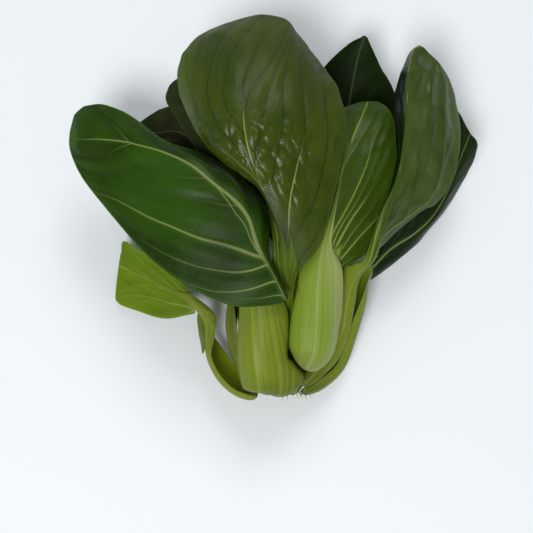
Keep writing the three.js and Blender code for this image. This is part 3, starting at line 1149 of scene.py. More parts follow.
        inland = 1 - np.exp(-np.abs(rib_gap) / self.RIB_CALM)
        calm = (inland * ease(edge, 0.0, self.EDGE_CALM)
                * ease(u, self.foot[0], self.foot[1] + 0.08))
        puff = self.puffs(sheet, label, pitch)
        swell = self.hills(Draw.SWELL, 26).at(signed, y) * self.SWELL_HEIGHT
        ripple = self.hills(Draw.RIPPLE, 9).at(y, np.sign(v) * 40) * s ** 5 * self.ruffle
        shift = puff * calm + swell * calm + ripple * np.sin(math.pi * np.clip(u, 0, 1)) ** 0.5
        if self.crease:
            dip = ease(crease_gap, 0.0, 1.5) * (1 - ease(rib_gap, 0.0, 4.0))
            shift = shift - dip * self.FOLD_DEPTH * ease(rib_line - crease_line, 0.3, 2.5)
        streak = self.hills(Draw.STREAK, 0.24).at(v, u * 0.2)
        foot = self.foot_share(sheet, streak)
        shift = shift + self.foot_ridge * streak * foot * ease(1 - s, 0.0, 0.15)

        rib_width = self.ridge_width * (1 - self.ridge_taper * u ** 0.8)
        show = read_table(self.rib_show, u)
        ridge = (self.ridge * (1 - u) ** 0.7 * (0.3 + 0.7 * show)
                 * np.exp(-(rib_gap / np.maximum(rib_width, 0.15)) ** 2))
        from_vein = np.abs(label - np.round(label)) * pitch
        crest_half = self.CREST * np.maximum(width, 0.3)
        crest = width * self.venation.lift * np.exp(-(from_vein / crest_half) ** 2)
        crest = crest * inland * ease(edge, 0, 3)

        flesh, normal = self.point(u, v), self.normal(u, v)
        shell = self.thick * (1 - self.EDGE_THIN * s ** 6)
        upper = flesh + normal * (shift + shell + ridge + crest)[:, None]
        lower = flesh + normal * (shift - shell - np.abs(crest) * 0.6)[:, None]
        upper[:, 2] = np.maximum(upper[:, 2], FLOOR_CLEAR + 0.02)
        lower[:, 2] = np.maximum(lower[:, 2], FLOOR_CLEAR)

        columns, rows = self.density.value
        mesh = flat_sheet(columns, rows, closed=True)
        grid = corners(mesh)
        spot = (np.rint((grid[:, 1] + 1) / 2 * rows) * (columns + 1)
                + np.rint((grid[:, 0] + 1) / 2 * columns)).astype(int)
        above = grid[:, 2] > 0.5
        move_corners(mesh, np.where(above[:, None], upper[spot], lower[spot]) * MM)

        coats = {"veins": (left, right, pitch),
                 "leaf": (signed * MM, y * MM),
                 "widths": (width, foot * (0.8 + 0.4 * streak), rib_width),
                 "spine": (rib_gap, crease_gap, show),
                 # lighter patches, darker patches of painted shade, and the added roughness
                 "tint": (self.patch_tint(sheet, 1), self.patch_tint(sheet, -1),
                          read_table(self.dull, u))}
        for name, values in coats.items():
            paint(mesh, name, *(value[spot] for value in values))
        # the puff height lets the finish paint shade in the creases between the puffs
        paint(mesh, "skin", edge[spot], np.clip(puff, 0, 1.5)[spot], ~above)
        return mesh

    # ---- stalk ----

    def build_stalk(self) -> bpy.types.Mesh:
        """Shapes the stalk: a grooved fleshy petiole that thins out into the midrib.

        Returns:
            The mesh, in place.
        """
        around, along = STALK_MESH
        mesh = flat_sheet(around, along, closed=False)
        grid = corners(mesh)
        order = np.lexsort((grid[:, 0], grid[:, 1].round(5)))
        theta = np.linspace(0, FULL_TURN, around + 1)
        t = np.linspace(0, 1, along + 1)

        sections, sizes = self.sections(theta)
        loft = curve_through(sections, t)
        width = curve_through(sizes, t)[:, 0]
        path = loft.mean(axis=1)
        grain = self.string_lines(loft, path, width)
        run = length_along(path)
        closing = np.clip(run / self.ROOT_ROUND, 0, 1)
        round_end = np.sqrt(np.maximum(1 - (1 - closing) ** 2, 0.0004))
        taper = np.clip((run[-1] - run) / self.END_TAPER, 0.0, 1)
        round_end = round_end * np.maximum(np.sqrt(taper), 0.03)
        loft = path[:, None] + (loft - path[:, None]) * round_end[:, None, None]

        place = np.empty_like(grid)
        place[order] = loft.reshape(-1, 3)
        place[:, 2] = np.maximum(place[:, 2], FLOOR_CLEAR)
        move_corners(mesh, place * MM)

        def spread(values: Array) -> Array:
            """A value for each vertex, from values by row, by column or both."""
            out = np.empty(len(grid))
            out[order] = np.broadcast_to(values, grain.shape).ravel()
            return out

        paint(mesh, "flesh", spread(-np.cos(theta)), spread(np.sin(theta)),
              spread(t[:, None]))
        paint(mesh, "flesh_mm", spread(grain), spread(run[:, None]))
        close_tube(mesh)
        return mesh

    def string_lines(self, loft: Array, path: Array, width: Array) -> Array:
        """Numbers the strings of the stalk, so that they run straighter than its outline.

        Args:
            loft: the stalk's points, row by row.
            path: the middle of each row.
            width: the width of each row.
        Returns:
            For each point, its place across, from about -1 to 1.
        """
        rows = len(path)
        reach = np.arange(rows) - rows // 2
        calm = np.exp(-(reach / (rows * 0.16)) ** 2)

        def smooth(values: Array) -> Array:
            """The values without their knees."""
            padded = np.pad(values, rows // 2, mode="reflect", reflect_type="odd")
            out = np.convolve(padded, calm / calm.sum(), mode="same")
            return out[rows // 2:rows // 2 + rows]

        middle = np.stack([smooth(path[:, k]) for k in range(3)], axis=1)
        across = loft[:, loft.shape[1] // 2] - loft[:, 0]
        across = unit(np.stack([smooth(across[:, k]) for k in range(3)], axis=1))
        gap = np.einsum("rck,rk->rc", loft - middle[:, None], across)
        return gap / np.maximum(smooth(width) / 2, 1.0)[:, None]

    def sections(self, theta: Array) -> tuple[Array, Array]:
        """The cross-sections that the stalk passes.

        Args:
            theta: places round a section, from 0 to a full turn.
        Returns:
            The sections' points, and each section's width and thickness.
        """
        stem = [np.array(row, float) for row in self.petiole]
        side = -np.cos(theta)
        start = self.frame(np.array([self.rib_from]))[0][0]
        centres = [row[:3] - MIDDLE for row in stem] + [start]
        rings, sizes = [], []
        for k, row in enumerate(stem):
            ahead, behind = centres[k + 1], centres[max(k - 1, 0)]
            way = unit(ahead - behind)
            turn = math.radians(row[5])
            out = np.array([math.cos(turn), 0, math.sin(turn)])
            out = unit(out - way * np.dot(out, way))
            across = np.cross(out, way)
            rise = self.rise(theta, row[4], self.groove)
            rings.append(centres[k] + np.outer(side * row[3] / 2, across)
                         - np.outer(row[3] * self.WRAP * side ** 2, out) + np.outer(rise, out))
            sizes.append([row[3], row[4]])
        width, thickness = stem[-1][3:5] * self.RIB_SHARE
        for k in range(RIB_STATIONS + 1):
            f = k / RIB_STATIONS
            u = self.rib_from + (self.rib_reach - self.rib_from) * f
            fade = (1 - f) ** self.rib_fade
            rib_width = self.rib_end[0] + (width - self.rib_end[0]) * fade
            rib_thick = self.rib_end[1] + (thickness - self.rib_end[1]) * fade
            us = np.full(len(theta), u)
            _, to_left, to_right, _, _ = self.frame(us)
            reach = np.where(side < 0, np.linalg.norm(to_left, axis=1),
                             np.linalg.norm(to_right, axis=1))
            v = np.clip(side * rib_width / 2 / reach, -RIB_SPREAD, RIB_SPREAD)
            below = -self.normal(us, v)
            rise = self.rise(theta, rib_thick, self.groove * (1 - f)) + self.rib_sink
            rings.append(self.point(us, v) + below * rise[:, None])
            sizes.append([rib_width, rib_thick])
        return np.array(rings), np.array(sizes)

    def rise(self, theta: Array, thickness: float, groove: float) -> Array:
        """How far the skin stands out from the inner face round a section.

        Args:
            theta: places round the section, from 0 to a full turn.
            thickness: the section's thickness, in millimetres.
            groove: depth of the grooves there, in millimetres.
        Returns:
            The height at each place, in millimetres.
        """
        edge = min(STALK_EDGE, thickness * 0.8)
        bulge = np.abs(np.sin(theta))
        outer = edge / 2 + edge / 2 * bulge ** 0.5 + (thickness - edge) * bulge ** 0.8
        inner = edge / 2 - edge / 2 * bulge ** 0.5
        across = (1 - np.cos(theta)) / 2
        strings = 0.5 - 0.5 * np.cos(FULL_TURN * self.strings * across)
        fine = 0.5 - 0.5 * np.cos(FULL_TURN * (self.strings * self.FINE_STRINGS) * across + 1)
        cut = groove * bulge * (strings * 0.8 + fine * 0.3)
        return np.where(np.sin(theta) >= 0, outer - cut, inner + cut * 0.5)

    def build(self) -> None:
        """Builds and dresses the leaf's two pieces."""
        for part, stuff, mesh, finish in (
                ("blade", "skin", self.build_blade(), self.blade_finish),
                ("stalk", "flesh", self.build_stalk(), self.stalk_finish)):
            show(f"{self.name}_{part}_{stuff}", mesh, finish.dress(f"{self.name}_{stuff}"),
                 finish.slot, [f"{self.name}_{part}"])


# ---------------------------------------------------------------- crown


@dataclass(frozen=True)
class Crown:
    """The short stem base with its trimmed end, in millimetres."""

    axis: tuple[float, float] = (4.0, 25.0)         # x and z of the line that it turns on
    radius: float = 8.0
    profile: tuple[tuple[float, float], ...] = (
        (0.0, -90.7), (5.0, -90.6), (7.0, -90.2), (7.8, -89.3), (8.0, -87.5),
        (7.9, -85.0), (7.2, -82.8), (4.4, -80.4), (0.0, -79.0))
    rough_from: float = 88.8           # this far behind the middle, the skin roughens
    cut_from: float = 89.5             # and here the trimmed face begins
    cut_to: float = 90.4
    finish: CrownFinish = CrownFinish()

    def build(self) -> None:
        """Turns the profile round the axis and roughens it."""
        around, along = CROWN_MESH
        bm = bmesh.new()
        line = [bm.verts.new((max(radius, 0.0), y, 0.0))
                for radius, y in curve_through(np.array(self.profile),
                                               np.linspace(0, 1, along))]
        for last, corner in zip(line, line[1:]):
            bm.edges.new((last, corner))
        bmesh.ops.spin(bm, geom=bm.verts[:] + bm.edges[:], axis=(0, 1, 0), cent=(0, 0, 0),
                       angle=FULL_TURN, steps=around, use_merge=True)
        bmesh.ops.remove_doubles(bm, verts=bm.verts[:], dist=1e-4)
        bmesh.ops.recalc_face_normals(bm, faces=bm.faces[:])
        mesh = finished_mesh(bm, "crown")
        p = corners(mesh)
        radius = np.hypot(p[:, 0], p[:, 2])
        turn = np.arctan2(p[:, 2], p[:, 0])
        lobes = 0.35 * np.sin(5 * turn + p[:, 1]) + 0.2 * np.sin(9 * turn + 1)
        scale = 1 + lobes / 9.0 * ease(radius, 3, 8)
        p[:, 0] *= scale
        p[:, 2] *= scale
        p[:, 1] += (0.25 * np.sin(radius * 2.1 + 2 * np.cos(turn))
                    * ease(-p[:, 1], self.rough_from, self.cut_to))
        on_cut = ease(-p[:, 1], self.cut_from, self.cut_to)
        p += np.array([self.axis[0], 0, self.axis[1]]) - MIDDLE
        move_corners(mesh, p * MM)
        paint(mesh, "stem", radius / self.radius, on_cut)
        show("crown_stem", mesh, self.finish.dress("crown_stem"), self.finish.slot, ["crown"])


# ---------------------------------------------------------------- frayed fibres


@dataclass(frozen=True)
class Fibres:
    """Short torn fibres round the trimmed end of the stem base."""

    roots: tuple[Row, ...]             # x, y, z where each one starts, and the way it points
    finish: CrownFinish = CrownFinish(side="#8c9748")
    length: float = 3.4
    radius: float = 0.34
    tip_radius: float = 0.04
    seed: int = 61

    def build(self) -> None:
        """Shapes every fibre as a thin cone and joins them in one mesh."""
        rng = np.random.default_rng(self.seed)
        bm = bmesh.new()
        for root in self.roots:
            start, way = np.array(root[:3]) - MIDDLE, unit(np.array(root[3:]))
            reach = self.length * rng.uniform(0.6, 1.4)
            turn = Vector((0, 0, 1)).rotation_difference(Vector(way)).to_matrix().to_4x4()
            middle = Matrix.Translation(Vector((start + way * reach / 2) * MM))
            bmesh.ops.create_cone(bm, cap_ends=True, segments=7, radius1=self.radius * MM,
                                  radius2=self.tip_radius * MM, depth=reach * MM,
                                  matrix=middle @ turn)
        mesh = finished_mesh(bm, "crown_fibres")
        show("crown_fibres", mesh, self.finish.dress("crown_fibres"), self.finish.slot, [])


# ---------------------------------------------------------------- loose flap


@dataclass(frozen=True)
class Flap:
    """A torn strip that hangs off the edge of a stalk, in millimetres."""

    path: tuple[Row, ...]              # its middle line, x, y, z
    widths: tuple[float, ...]
    thick: float = 0.7
    finish: CrownFinish = CrownFinish(side="#566c08")

    def build(self) -> None:
        """Shapes the strip as a thin closed tube on its line."""
        mesh = flat_sheet(*FLAP_MESH, closed=False)
        grid = corners(mesh)
        turn = (grid[:, 0] + 1) * math.pi
        t = (grid[:, 1] + 1) / 2
        middle = curve_through(np.array(self.path) - MIDDLE, t)
        width = curve_through(np.array(self.widths)[:, None], t)[:, 0]
        close = np.sqrt(np.maximum(1 - np.abs(2 * t - 1) ** 8, 0.01))
        middle[:, 0] += np.cos(turn) * width / 2 * close
        middle[:, 2] += np.sin(turn) * self.thick / 2 * close
        move_corners(mesh, middle * MM)
        close_tube(mesh)
        show("low_left_flap", mesh, self.finish.dress("low_left_flap"), self.finish.slot, [])


# ---------------------------------------------------------------- room


@dataclass(frozen=True)
class Lamp:
    """One soft square white light, in metres and watts."""

    name: str
    place: tuple[float, float, float]
    size: float
    power: float


@dataclass(frozen=True)
class Studio:
    """A plain pale floor, soft light from above and a camera that looks down."""

    aim: tuple[float, float, float] = (-0.00557, -0.02898, 0.045)
    distance: float = 0.45
    rise: float = 80.0                 # how steeply the camera looks down, in degrees
    lens: float = 62.0
    sensor: float = 36.0
    clip: tuple[float, float] = (0.01, 20.0)
    lit: tuple[float, float, float] = (0.0, 0.0, 0.04)     # what the lamps look at
    lamps: tuple[Lamp, ...] = (Lamp("key", (-0.35, -0.85, 1.5), 0.6, 18.5),
                               Lamp("fill", (0.3, 1.3, 1.6), 0.9, 14.0))
    sky: Rgb = (0.97, 0.99, 1.0, 1.0)
    sky_strength: float = 0.3
    floor: str = "#eef3f6"
    floor_cloud: str = "#e6ecf0"

    def build(self) -> None:
        """Sets up the floor, the lights, the world and the camera."""
        self.lay_floor()
        for lamp in self.lamps:
            self.hang(lamp)
        world = bpy.data.worlds.new("soft_room")
        world.use_nodes = True
        shade = world.node_tree.nodes["Background"]
        shade.inputs[0].default_value = self.sky
        shade.inputs[1].default_value = self.sky_strength
        bpy.context.scene.world = world
        bpy.context.scene.view_settings.view_transform = "Standard"
        self.aim_camera()

    def lay_floor(self) -> None:
        """Lays one wide square of matte floor."""
        bm = bmesh.new()
        bmesh.ops.create_grid(bm, x_segments=8, y_segments=8, size=4.0)
        mesh = finished_mesh(bm, "floor")
        g = Graph("floor")
        cloud = g.noise(g.place(), 30.0, 2.0)
        colour = g.blend(cloud * 0.1, self.floor, self.floor_cloud)
        mesh.materials.append(g.finish(colour, 0.9, cloud, 0.00001, {"Specular IOR Level": 0.1}))
        put_in_scene("floor", mesh)

    def hang(self, lamp: Lamp) -> None:
        """Hangs a lamp so that it looks at the head.

        Args:
            lamp: the lamp.
        """
        light = bpy.data.lights.new(lamp.name, "AREA")
        light.size, light.energy = lamp.size, lamp.power
        obj = put_in_scene(lamp.name, light)
        away = np.array(lamp.place) - np.array(self.lit)
        pan = math.atan2(away[0], -away[1])
        tilt = math.acos(away[2] / np.linalg.norm(away))
        obj.location = lamp.place
        obj.rotation_euler = (tilt, 0.0, pan)

    def aim_camera(self) -> None:
        """Places the camera."""
        camera = bpy.data.cameras.new("camera")
        camera.lens, camera.sensor_width = self.lens, self.sensor
        camera.clip_start, camera.clip_end = self.clip
        obj = put_in_scene("camera", camera)
        rise = math.radians(self.rise)
        x, y, z = self.aim
        obj.location = (x, y - self.distance * math.cos(rise), z + self.distance * math.sin(rise))
        obj.rotation_euler = (math.pi / 2 - rise, 0.0, 0.0)
        bpy.context.scene.camera = obj


# ---------------------------------------------------------------- the leaves

NO_FOOT = (-1.0, -0.5)               # the blade keeps its own colour down to its foot

DARK = BladeFinish("blade_dark", upper="#182e02", upper_light="#2b4707", lower="#1e2d0a",
                   lower_light="#2b3f13", margin="#33590a", vein="#757f48", gloss=0.32,
                   level=0.18)
# painted shade: a darker copy of DARK for the low far right leaf
DARK_IN_SHADE = replace(DARK, upper="#0f1c08", upper_light="#192b0d", margin="#2b4416", vein="#6b7a46",
              level=0.14)
# painted shade: near-black greens for the back right leaf, which fills dark gaps between the
# others
SHADE = BladeFinish("blade_dark", upper="#0f1b04", upper_light="#182708", lower="#1f2a0b",
                    lower_light="#2a3614", margin="#20340c", vein="#46562c", vein_show=0.7,
                    gloss=0.45, level=0.08)
DUSK = replace(SHADE, upper="#22280c", upper_light="#2e3414", margin="#373c1a", vein="#6f6a42",
               level=0.14)
OLIVE = BladeFinish("blade_olive", upper="#2c3c02", upper_light="#3e4d03", lower="#34480c",
                    lower_light="#42571a", vein="#83914a", groove_shade="#1c2c02", foot="#4c6004",
                    foot_dark="#2c3f02", margin="#46590c", sunken=0.6, gloss=0.25, level=0.27)
MID = BladeFinish("blade_mid", upper="#243608", upper_light="#334a0d", lower="#283d04",
                  lower_light="#374e0e", margin="#415d09", vein="#7c8a40", foot="#76883a",
                  foot_dark="#48601a", gloss=0.32, back_gloss=0.34, level=0.2)
BACK = replace(MID, lower="#2b3e0b", lower_light="#455824", vein="#6f7f44", margin="#435c1a",
               back_gloss=0.3, level=0.3)
FRESH = BladeFinish("blade_light", upper="#54700f", upper_light="#6c8a18", lower="#567205",
                    lower_light="#6c880c", margin="#76901f", vein="#94a250", foot="#7a8a34",
                    foot_dark="#5f7622", level=0.2)

STALK = StalkFinish(base="#58641a", body="#73841f", top="#6c8020", stripe="#51660f",
                    pale="#929f4c")
BAND_STALK = replace(STALK, green="#384f0e", green_from=0.5, green_to=0.62)
WHITE_STALK = StalkFinish(base="#84864c", body="#78902a", top="#7d9236", stripe="#5f7a18",
                          pale="#a3ab74", pale_side=-1.0, green="#4a6018", green_from=0.62,
                          green_to=0.86)
OLIVE_STALK = StalkFinish(base="#5f6b20", body="#5d6a1a", top="#58680f", stripe="#43520a",
                          pale="#7c8740", inner="#536210")
EDGE_STALK = replace(OLIVE_STALK, base="#78852a", body="#788527", top="#75842a", pale="#93a052",
                     inner="#8a9a14", stripe="#56670e")

LEAVES: tuple[Leaf, ...] = (
    Leaf(
        name="leaf_front_left",
        petiole=((-1.2, -91.2, 31.3, 18, 4, 100), (0.8, -87.9, 34.4, 28, 6.5, 99),
                 (-3.2, -83, 37.3, 28, 9, 101), (-6.3, -74, 41, 25.2, 9, 101),
                 (-5.5, -54, 47, 24, 8, 98), (-9, -37, 53, 14, 5, 92),
                 (-9, -26, 57, 8, 4, 0)),
        rib_from=0.26,
        blade=(
            ((0, -51, 60), (5, -49, 60), (7, -46, 58)),
            ((-17, -52, 61), (-2, -35, 64), (-3.2, -28, 55.5)),
            ((-29, -48, 60), (-8, -24, 66), (-1.5, -15, 56)),
            ((-40, -42, 58), (-12, -11, 67), (-3, -5, 55)),
            ((-52, -34, 56), (-19, -2, 68), (-9, 5, 55)),
            ((-65, -22, 53), (-29, 6, 69), (-19.5, 14.5, 57)),
            ((-79, -6, 51), (-40, 15, 69), (-35, 23, 60)),
            ((-91, 9, 49), (-54, 22, 67), (-53, 29, 62)),
            ((-98, 20, 48), (-71, 28, 63), (-69, 42, 58)),
            ((-102, 31, 48), (-87, 37, 57), (-82, 49, 55)),
            ((-101, 44, 49), (-97, 48, 51), (-92, 51, 52))),
        blade_finish=DARK, stalk_finish=STALK,
        venation=Venation(
            left=(
                Vein(((0.015, 0), (0.052, 0.57), (0.10, 0.79), (0.2, 1.0)), 1.0, 0.3),
                Vein(((0.06, 0), (0.113, 0.57), (0.193, 0.86), (0.285, 0.96), (0.37, 1.0)),
                     1.3, 0.4),
                Vein(((0.12, 0), (0.158, 0.32), (0.212, 0.55), (0.295, 0.74), (0.383, 0.83),
                      (0.45, 0.88), (0.51, 0.93), (0.58, 1.0)), 1.3, 0.3),
                Vein(((0.15, 0), (0.182, 0.11), (0.285, 0.38), (0.385, 0.53), (0.482, 0.62),
                      (0.552, 0.72), (0.633, 0.84), (0.69, 1.0)), 2.3, 0.6),
                Vein(((0.37, 0), (0.408, 0.11), (0.48, 0.22), (0.53, 0.34), (0.59, 0.5),
                      (0.70, 0.8), (0.76, 1.0)), 0.7, 0.0),
                Vein(((0.52, 0), (0.568, 0.15), (0.608, 0.28), (0.64, 0.46), (0.74, 0.8),
                      (0.8, 1.0)), 0.7, 0.0),
                Vein(((0.785, 0), (0.80, 0.23), (0.80, 0.58), (0.86, 1.0)), 0.9, 0.0)),
            right=(
                Vein(((0.1, 0), (0.2, 0.5), (0.3, 1.0)), 0.6, 0.2),
                Vein(((0.25, 0), (0.36, 0.5), (0.48, 1.0)), 0.6, 0.2),
                Vein(((0.42, 0), (0.52, 0.5), (0.63, 1.0)), 0.6, 0.1),
                Vein(((0.6, 0), (0.68, 0.4), (0.8, 1.0)), 0.6, 0.0),
                Vein(((0.79, 0), (0.838, 0.34), (0.893, 0.55), (0.97, 1.0)), 0.9, 0.0)),
            quilt=0.6, lift=0.2),
        crease=((0.05, 0.3), (0.12, 0.2), (0.18, -1.0), (0.25, -2.8), (0.35, -4.2),
                (0.43, -2.2), (0.49, 0), (0.6, 0.1)),
        density=Density.HERO, ridge=0.8, ridge_width=2.4, ridge_taper=0.82, foot=NO_FOOT,
        rib_show=((0, 0.1), (0.1, 0.15), (0.2, 1.0), (0.86, 1.0), (0.9, 0.3), (0.93, 0)),
        rib_shift=((0, 0), (0.79, 0), (0.825, -1.9), (0.848, -3.8), (0.872, -6.3), (0.893, -9.6),
                   (0.91, -12.2), (1, -16)),
        rib_sink=0.5,
        dull=((0, 0.16), (0.34, 0.12), (0.46, 0.0), (1, 0.0)),
        # painted light at the tip, painted sheen on the left half and beside the midrib, painted
        # shade low on the left half
        patches=(Patch(0.93, -0.85, 0.07, 0.3, 0.6), Patch(0.56, -0.5, 0.2, 0.45, 0.4),
                 Patch(0.67, -0.12, 0.14, 0.3, 0.4), Patch(0.26, -0.62, 0.15, 0.45, -0.35)),
        seed=3),
    Leaf(
        name="leaf_centre",
        petiole=((4, -77, 24, 9, 4, -90), (4, -69, 28, 11, 5, -90),
                 (5.5, -60, 33, 10, 4.5, -90)),
        blade=(
            ((1.5, -52, 40.5), (6, -53, 40.5), (9.5, -53, 40.5)),
            ((2.8, -42, 48.2), (6.4, -43, 48.5), (9.6, -44, 49)),
            ((-1, -31, 57), (5.5, -33, 57), (11.5, -35.5, 59)),
            ((-1, -12, 62), (3, -17, 65.5), (21.5, -23, 61.5)),
            ((-7.5, 4.5, 67.5), (-4, -1, 73), (27, -6, 63.5)),
            ((-24, 15, 70), (-9, 10, 79), (31, 13, 64)),
            ((-37, 31, 69), (-13, 23, 84), (35, 33, 66)),
            ((-45, 49, 68), (-14, 37, 86), (32, 50, 66)),
            ((-46, 65, 67), (-11, 52, 84), (25, 64, 65)),
            ((-37, 81, 65), (-4, 70, 78), (17, 75, 65)),
            ((-15, 93, 62), (4, 90, 66), (11, 84, 64))),
        wave_height=1.2, wave_count=4,
        blade_finish=OLIVE, stalk_finish=OLIVE_STALK,
        venation=Venation(
            left=(
                Vein(((0.14, 0), (0.22, 0.4), (0.32, 1.0)), 0.7, 0.3),
                Vein(((0.24, 0), (0.30, 0.35), (0.38, 0.7), (0.46, 1.0)), 0.6, 0.3),
                Vein(((0.32, 0), (0.40, 0.2), (0.48, 0.55), (0.56, 0.85), (0.62, 1.0)), 0.6, 0.3),
                Vein(((0.40, 0), (0.45, 0.12), (0.492, 0.3), (0.57, 0.66), (0.652, 0.73),
                      (0.718, 0.78), (0.805, 0.90), (0.86, 1.0)), 0.9, 0.75),
                Vein(((0.50, 0), (0.56, 0.22), (0.62, 0.42), (0.69, 0.52), (0.77, 0.55),
                      (0.85, 0.58), (0.92, 0.66), (0.98, 0.85)), 0.6, 0.3),
                Vein(((0.60, 0), (0.65, 0.14), (0.698, 0.26), (0.753, 0.33), (0.802, 0.33),
                      (0.873, 0.38), (0.975, 0.42), (1.0, 0.5)), 0.6, 0.35),
                Vein(((0.72, 0), (0.78, 0.08), (0.85, 0.10), (0.93, 0.12), (1.0, 0.2)),
                     0.55, 0.3)),
            right=(
                Vein(((0.02, 0), (0.08, 0.3), (0.2, 0.6), (0.3, 0.8), (0.4, 1.0)), 0.7, 0.3),
                Vein(((0.06, 0), (0.12, 0.16), (0.2, 0.29), (0.268, 0.38), (0.325, 0.48),
                      (0.388, 0.68), (0.445, 0.75), (0.508, 0.78), (0.605, 0.79),
                      (0.72, 0.84), (0.84, 1.0)), 0.95, 0.3),
                Vein(((0.14, 0), (0.2, 0.08), (0.288, 0.19), (0.37, 0.33), (0.45, 0.42),
                      (0.522, 0.49), (0.588, 0.55), (0.633, 0.57), (0.738, 0.62),
                      (0.85, 0.7), (0.97, 1.0)), 1.5, 0.2),
                Vein(((0.36, 0), (0.45, 0.15), (0.53, 0.25), (0.6, 0.33), (0.68, 0.38),
                      (0.78, 0.42), (0.9, 0.55), (1.0, 0.8)), 0.6, 0.35),
                Vein(((0.5, 0), (0.58, 0.1), (0.66, 0.18), (0.74, 0.24), (0.83, 0.34),
                      (0.92, 0.5), (1.0, 0.7)), 0.55, 0.3),
                Vein(((0.66, 0), (0.753, 0.04), (0.818, 0.13), (0.888, 0.29), (0.96, 0.42),
                      (1.0, 0.52)), 0.6, 0.35)),
            quilt=0.3, lift=-0.12, wrinkle=0.5, blister=1.3, blister_size=7.0,
            blister_span=(0.40, 0.64)),
        rib_show=((0, 0.1), (0.5, 0.2), (0.54, 1.0), (0.66, 1.0), (0.70, 0.1), (1, 0.0)),
        foot=(0.2, 0.42), foot_half=8.0, foot_ridge=0.55,
        dull=((0, 0.34), (0.3, 0.34), (0.42, 0.0), (0.6, 0.0), (0.7, 0.14), (1, 0.2)),
        # a paler margin flap on the left, and painted shade over the glare low on the blade
        patches=(Patch(0.73, -0.98, 0.2, 0.24, 0.7), Patch(0.33, -0.1, 0.12, 0.6, -0.3)),
        density=Density.HERO, ridge=0.5, ridge_width=0.9,
        ruffle=0.9, seed=5),
    Leaf(
        name="leaf_front_right",
        petiole=((14, -77.5, 32.4, 8.5, 4, 52), (17, -75.3, 35.3, 18, 6.8, 58),
                 (19.4, -70, 38.8, 24.5, 8.5, 62), (21, -60, 42, 26, 8.5, 64),
                 (22.5, -50, 45.5, 26, 7, 70)),
        blade=(
            ((35, -31, 47), (22, -33, 50), (12, -31, 47)),
            ((46, -22, 43), (25, -18, 52), (14, -17, 48)),
            ((56, -7, 44), (30, -1, 53), (15, 0, 48)),
            ((61, 12, 46), (34, 18, 54), (17, 18, 48)),
            ((61, 31, 48), (39, 33, 53), (21, 35, 47)),
            ((60, 46, 46), (44, 45, 50), (28, 48, 45)),
            ((55, 55, 43), (48, 55, 44), (40, 54, 43))),
        wave_height=0.7,
        blade_finish=MID, stalk_finish=WHITE_STALK,
        venation=Venation(
            left=(
                Vein(((0, 0.7), (0.06, 0.76), (0.14, 0.88), (0.2, 1.0)), 0.9, 0.4),
                Vein(((0, 0.5), (0.1, 0.56), (0.22, 0.66), (0.34, 0.82), (0.44, 1.0)), 1.8, 0.4),
                Vein(((0, 0.36), (0.12, 0.42), (0.24, 0.5), (0.36, 0.65), (0.48, 0.86),
                      (0.55, 1.0)), 1.2, 0.1),
                Vein(((0, 0.24), (0.14, 0.28), (0.24, 0.33), (0.315, 0.39), (0.43, 0.57),
                      (0.583, 0.83), (0.66, 1.0)), 2.8, -0.5),
                Vein(((0, 0.16), (0.14, 0.19), (0.24, 0.22), (0.32, 0.3), (0.46, 0.47),
                      (0.63, 0.66), (0.76, 0.87), (0.82, 1.0)), 1.2, 0.1),
                Vein(((0, 0.08), (0.1, 0.09), (0.195, 0.11), (0.323, 0.21), (0.495, 0.38),
                      (0.677, 0.49), (0.895, 0.77), (1.0, 1.0)), 2.8, -0.2),
                Vein(((0.5, 0), (0.62, 0.12), (0.75, 0.25), (0.9, 0.45), (1.0, 0.7)), 0.8, 0.3)),
            right=(
                Vein(((0, 0.6), (0.08, 0.68), (0.18, 0.82), (0.28, 1.0)), 1.0, 0.3),
                Vein(((0, 0.3), (0.1, 0.34), (0.22, 0.45), (0.36, 0.66), (0.5, 0.9),
                      (0.56, 1.0)), 1.2, 0.3),
                Vein(((0.1, 0), (0.25, 0.15), (0.4, 0.32), (0.56, 0.55), (0.7, 0.8),
                      (0.8, 1.0)), 1.0, 0.3),
                Vein(((0.4, 0), (0.55, 0.2), (0.7, 0.45), (0.85, 0.7), (1.0, 0.95)), 0.7, 0.3)),
            quilt=0.5, lift=0.2, wrinkle=0.4, wrinkle_size=9.0),
        density=Density.MAIN, rib_reach=0.7, rib_fade=5,
        ridge_width=1.4, foot=(0.0, 0.3), foot_half=11.0, foot_ridge=0.3, seed=7),
    Leaf(
        name="leaf_right",
        petiole=((13.2, -86.5, 24.2, 6, 3, 15), (19.8, -81.2, 22.6, 9, 4, 30),
                 (29, -71.5, 22.2, 11, 4.5, 32), (34, -58, 27, 11, 4.5, 30),
                 (36.5, -45, 30, 13, 4.5, 42), (38.3, -32, 37.5, 14, 4.5, 60)),
        blade=(
            ((49, -23, 43), (46, -25, 46), (44, -26, 46)),
            ((55, -18, 43), (50, -15, 51), (48, -16, 48)),
            ((62, -11, 43), (53, -6, 55), (51.5, -5, 50)),
            ((73, -2, 43), (58, 4, 58), (56.5, 5, 50)),
            ((81, 2, 44), (61, 16, 61), (59.5, 17, 51)),
            ((88, 12, 44), (63, 29, 63), (61, 31, 52)),
            ((93, 29, 44), (64, 44, 64), (60, 47, 52)),
            ((94, 45, 44), (65, 57, 63), (62, 62, 51)),
            ((91, 62, 45), (67, 70, 60), (66, 73, 51)),
            ((84, 73, 49), (70, 78, 56), (69, 79, 51)),
            ((77, 78, 53), (74, 80, 55), (72, 81, 53))),
        blade_finish=BACK, stalk_finish=BAND_STALK,
        venation=Venation(
            left=(
                Vein(((0, 0.35), (0.03, 0.38), (0.1, 0.5), (0.173, 0.68), (0.26, 0.84),
                      (0.32, 0.87), (0.445, 0.80), (0.55, 0.74), (0.64, 0.68), (0.75, 0.7),
                      (0.88, 0.9), (0.93, 1.0)), 1.2, 0.4),
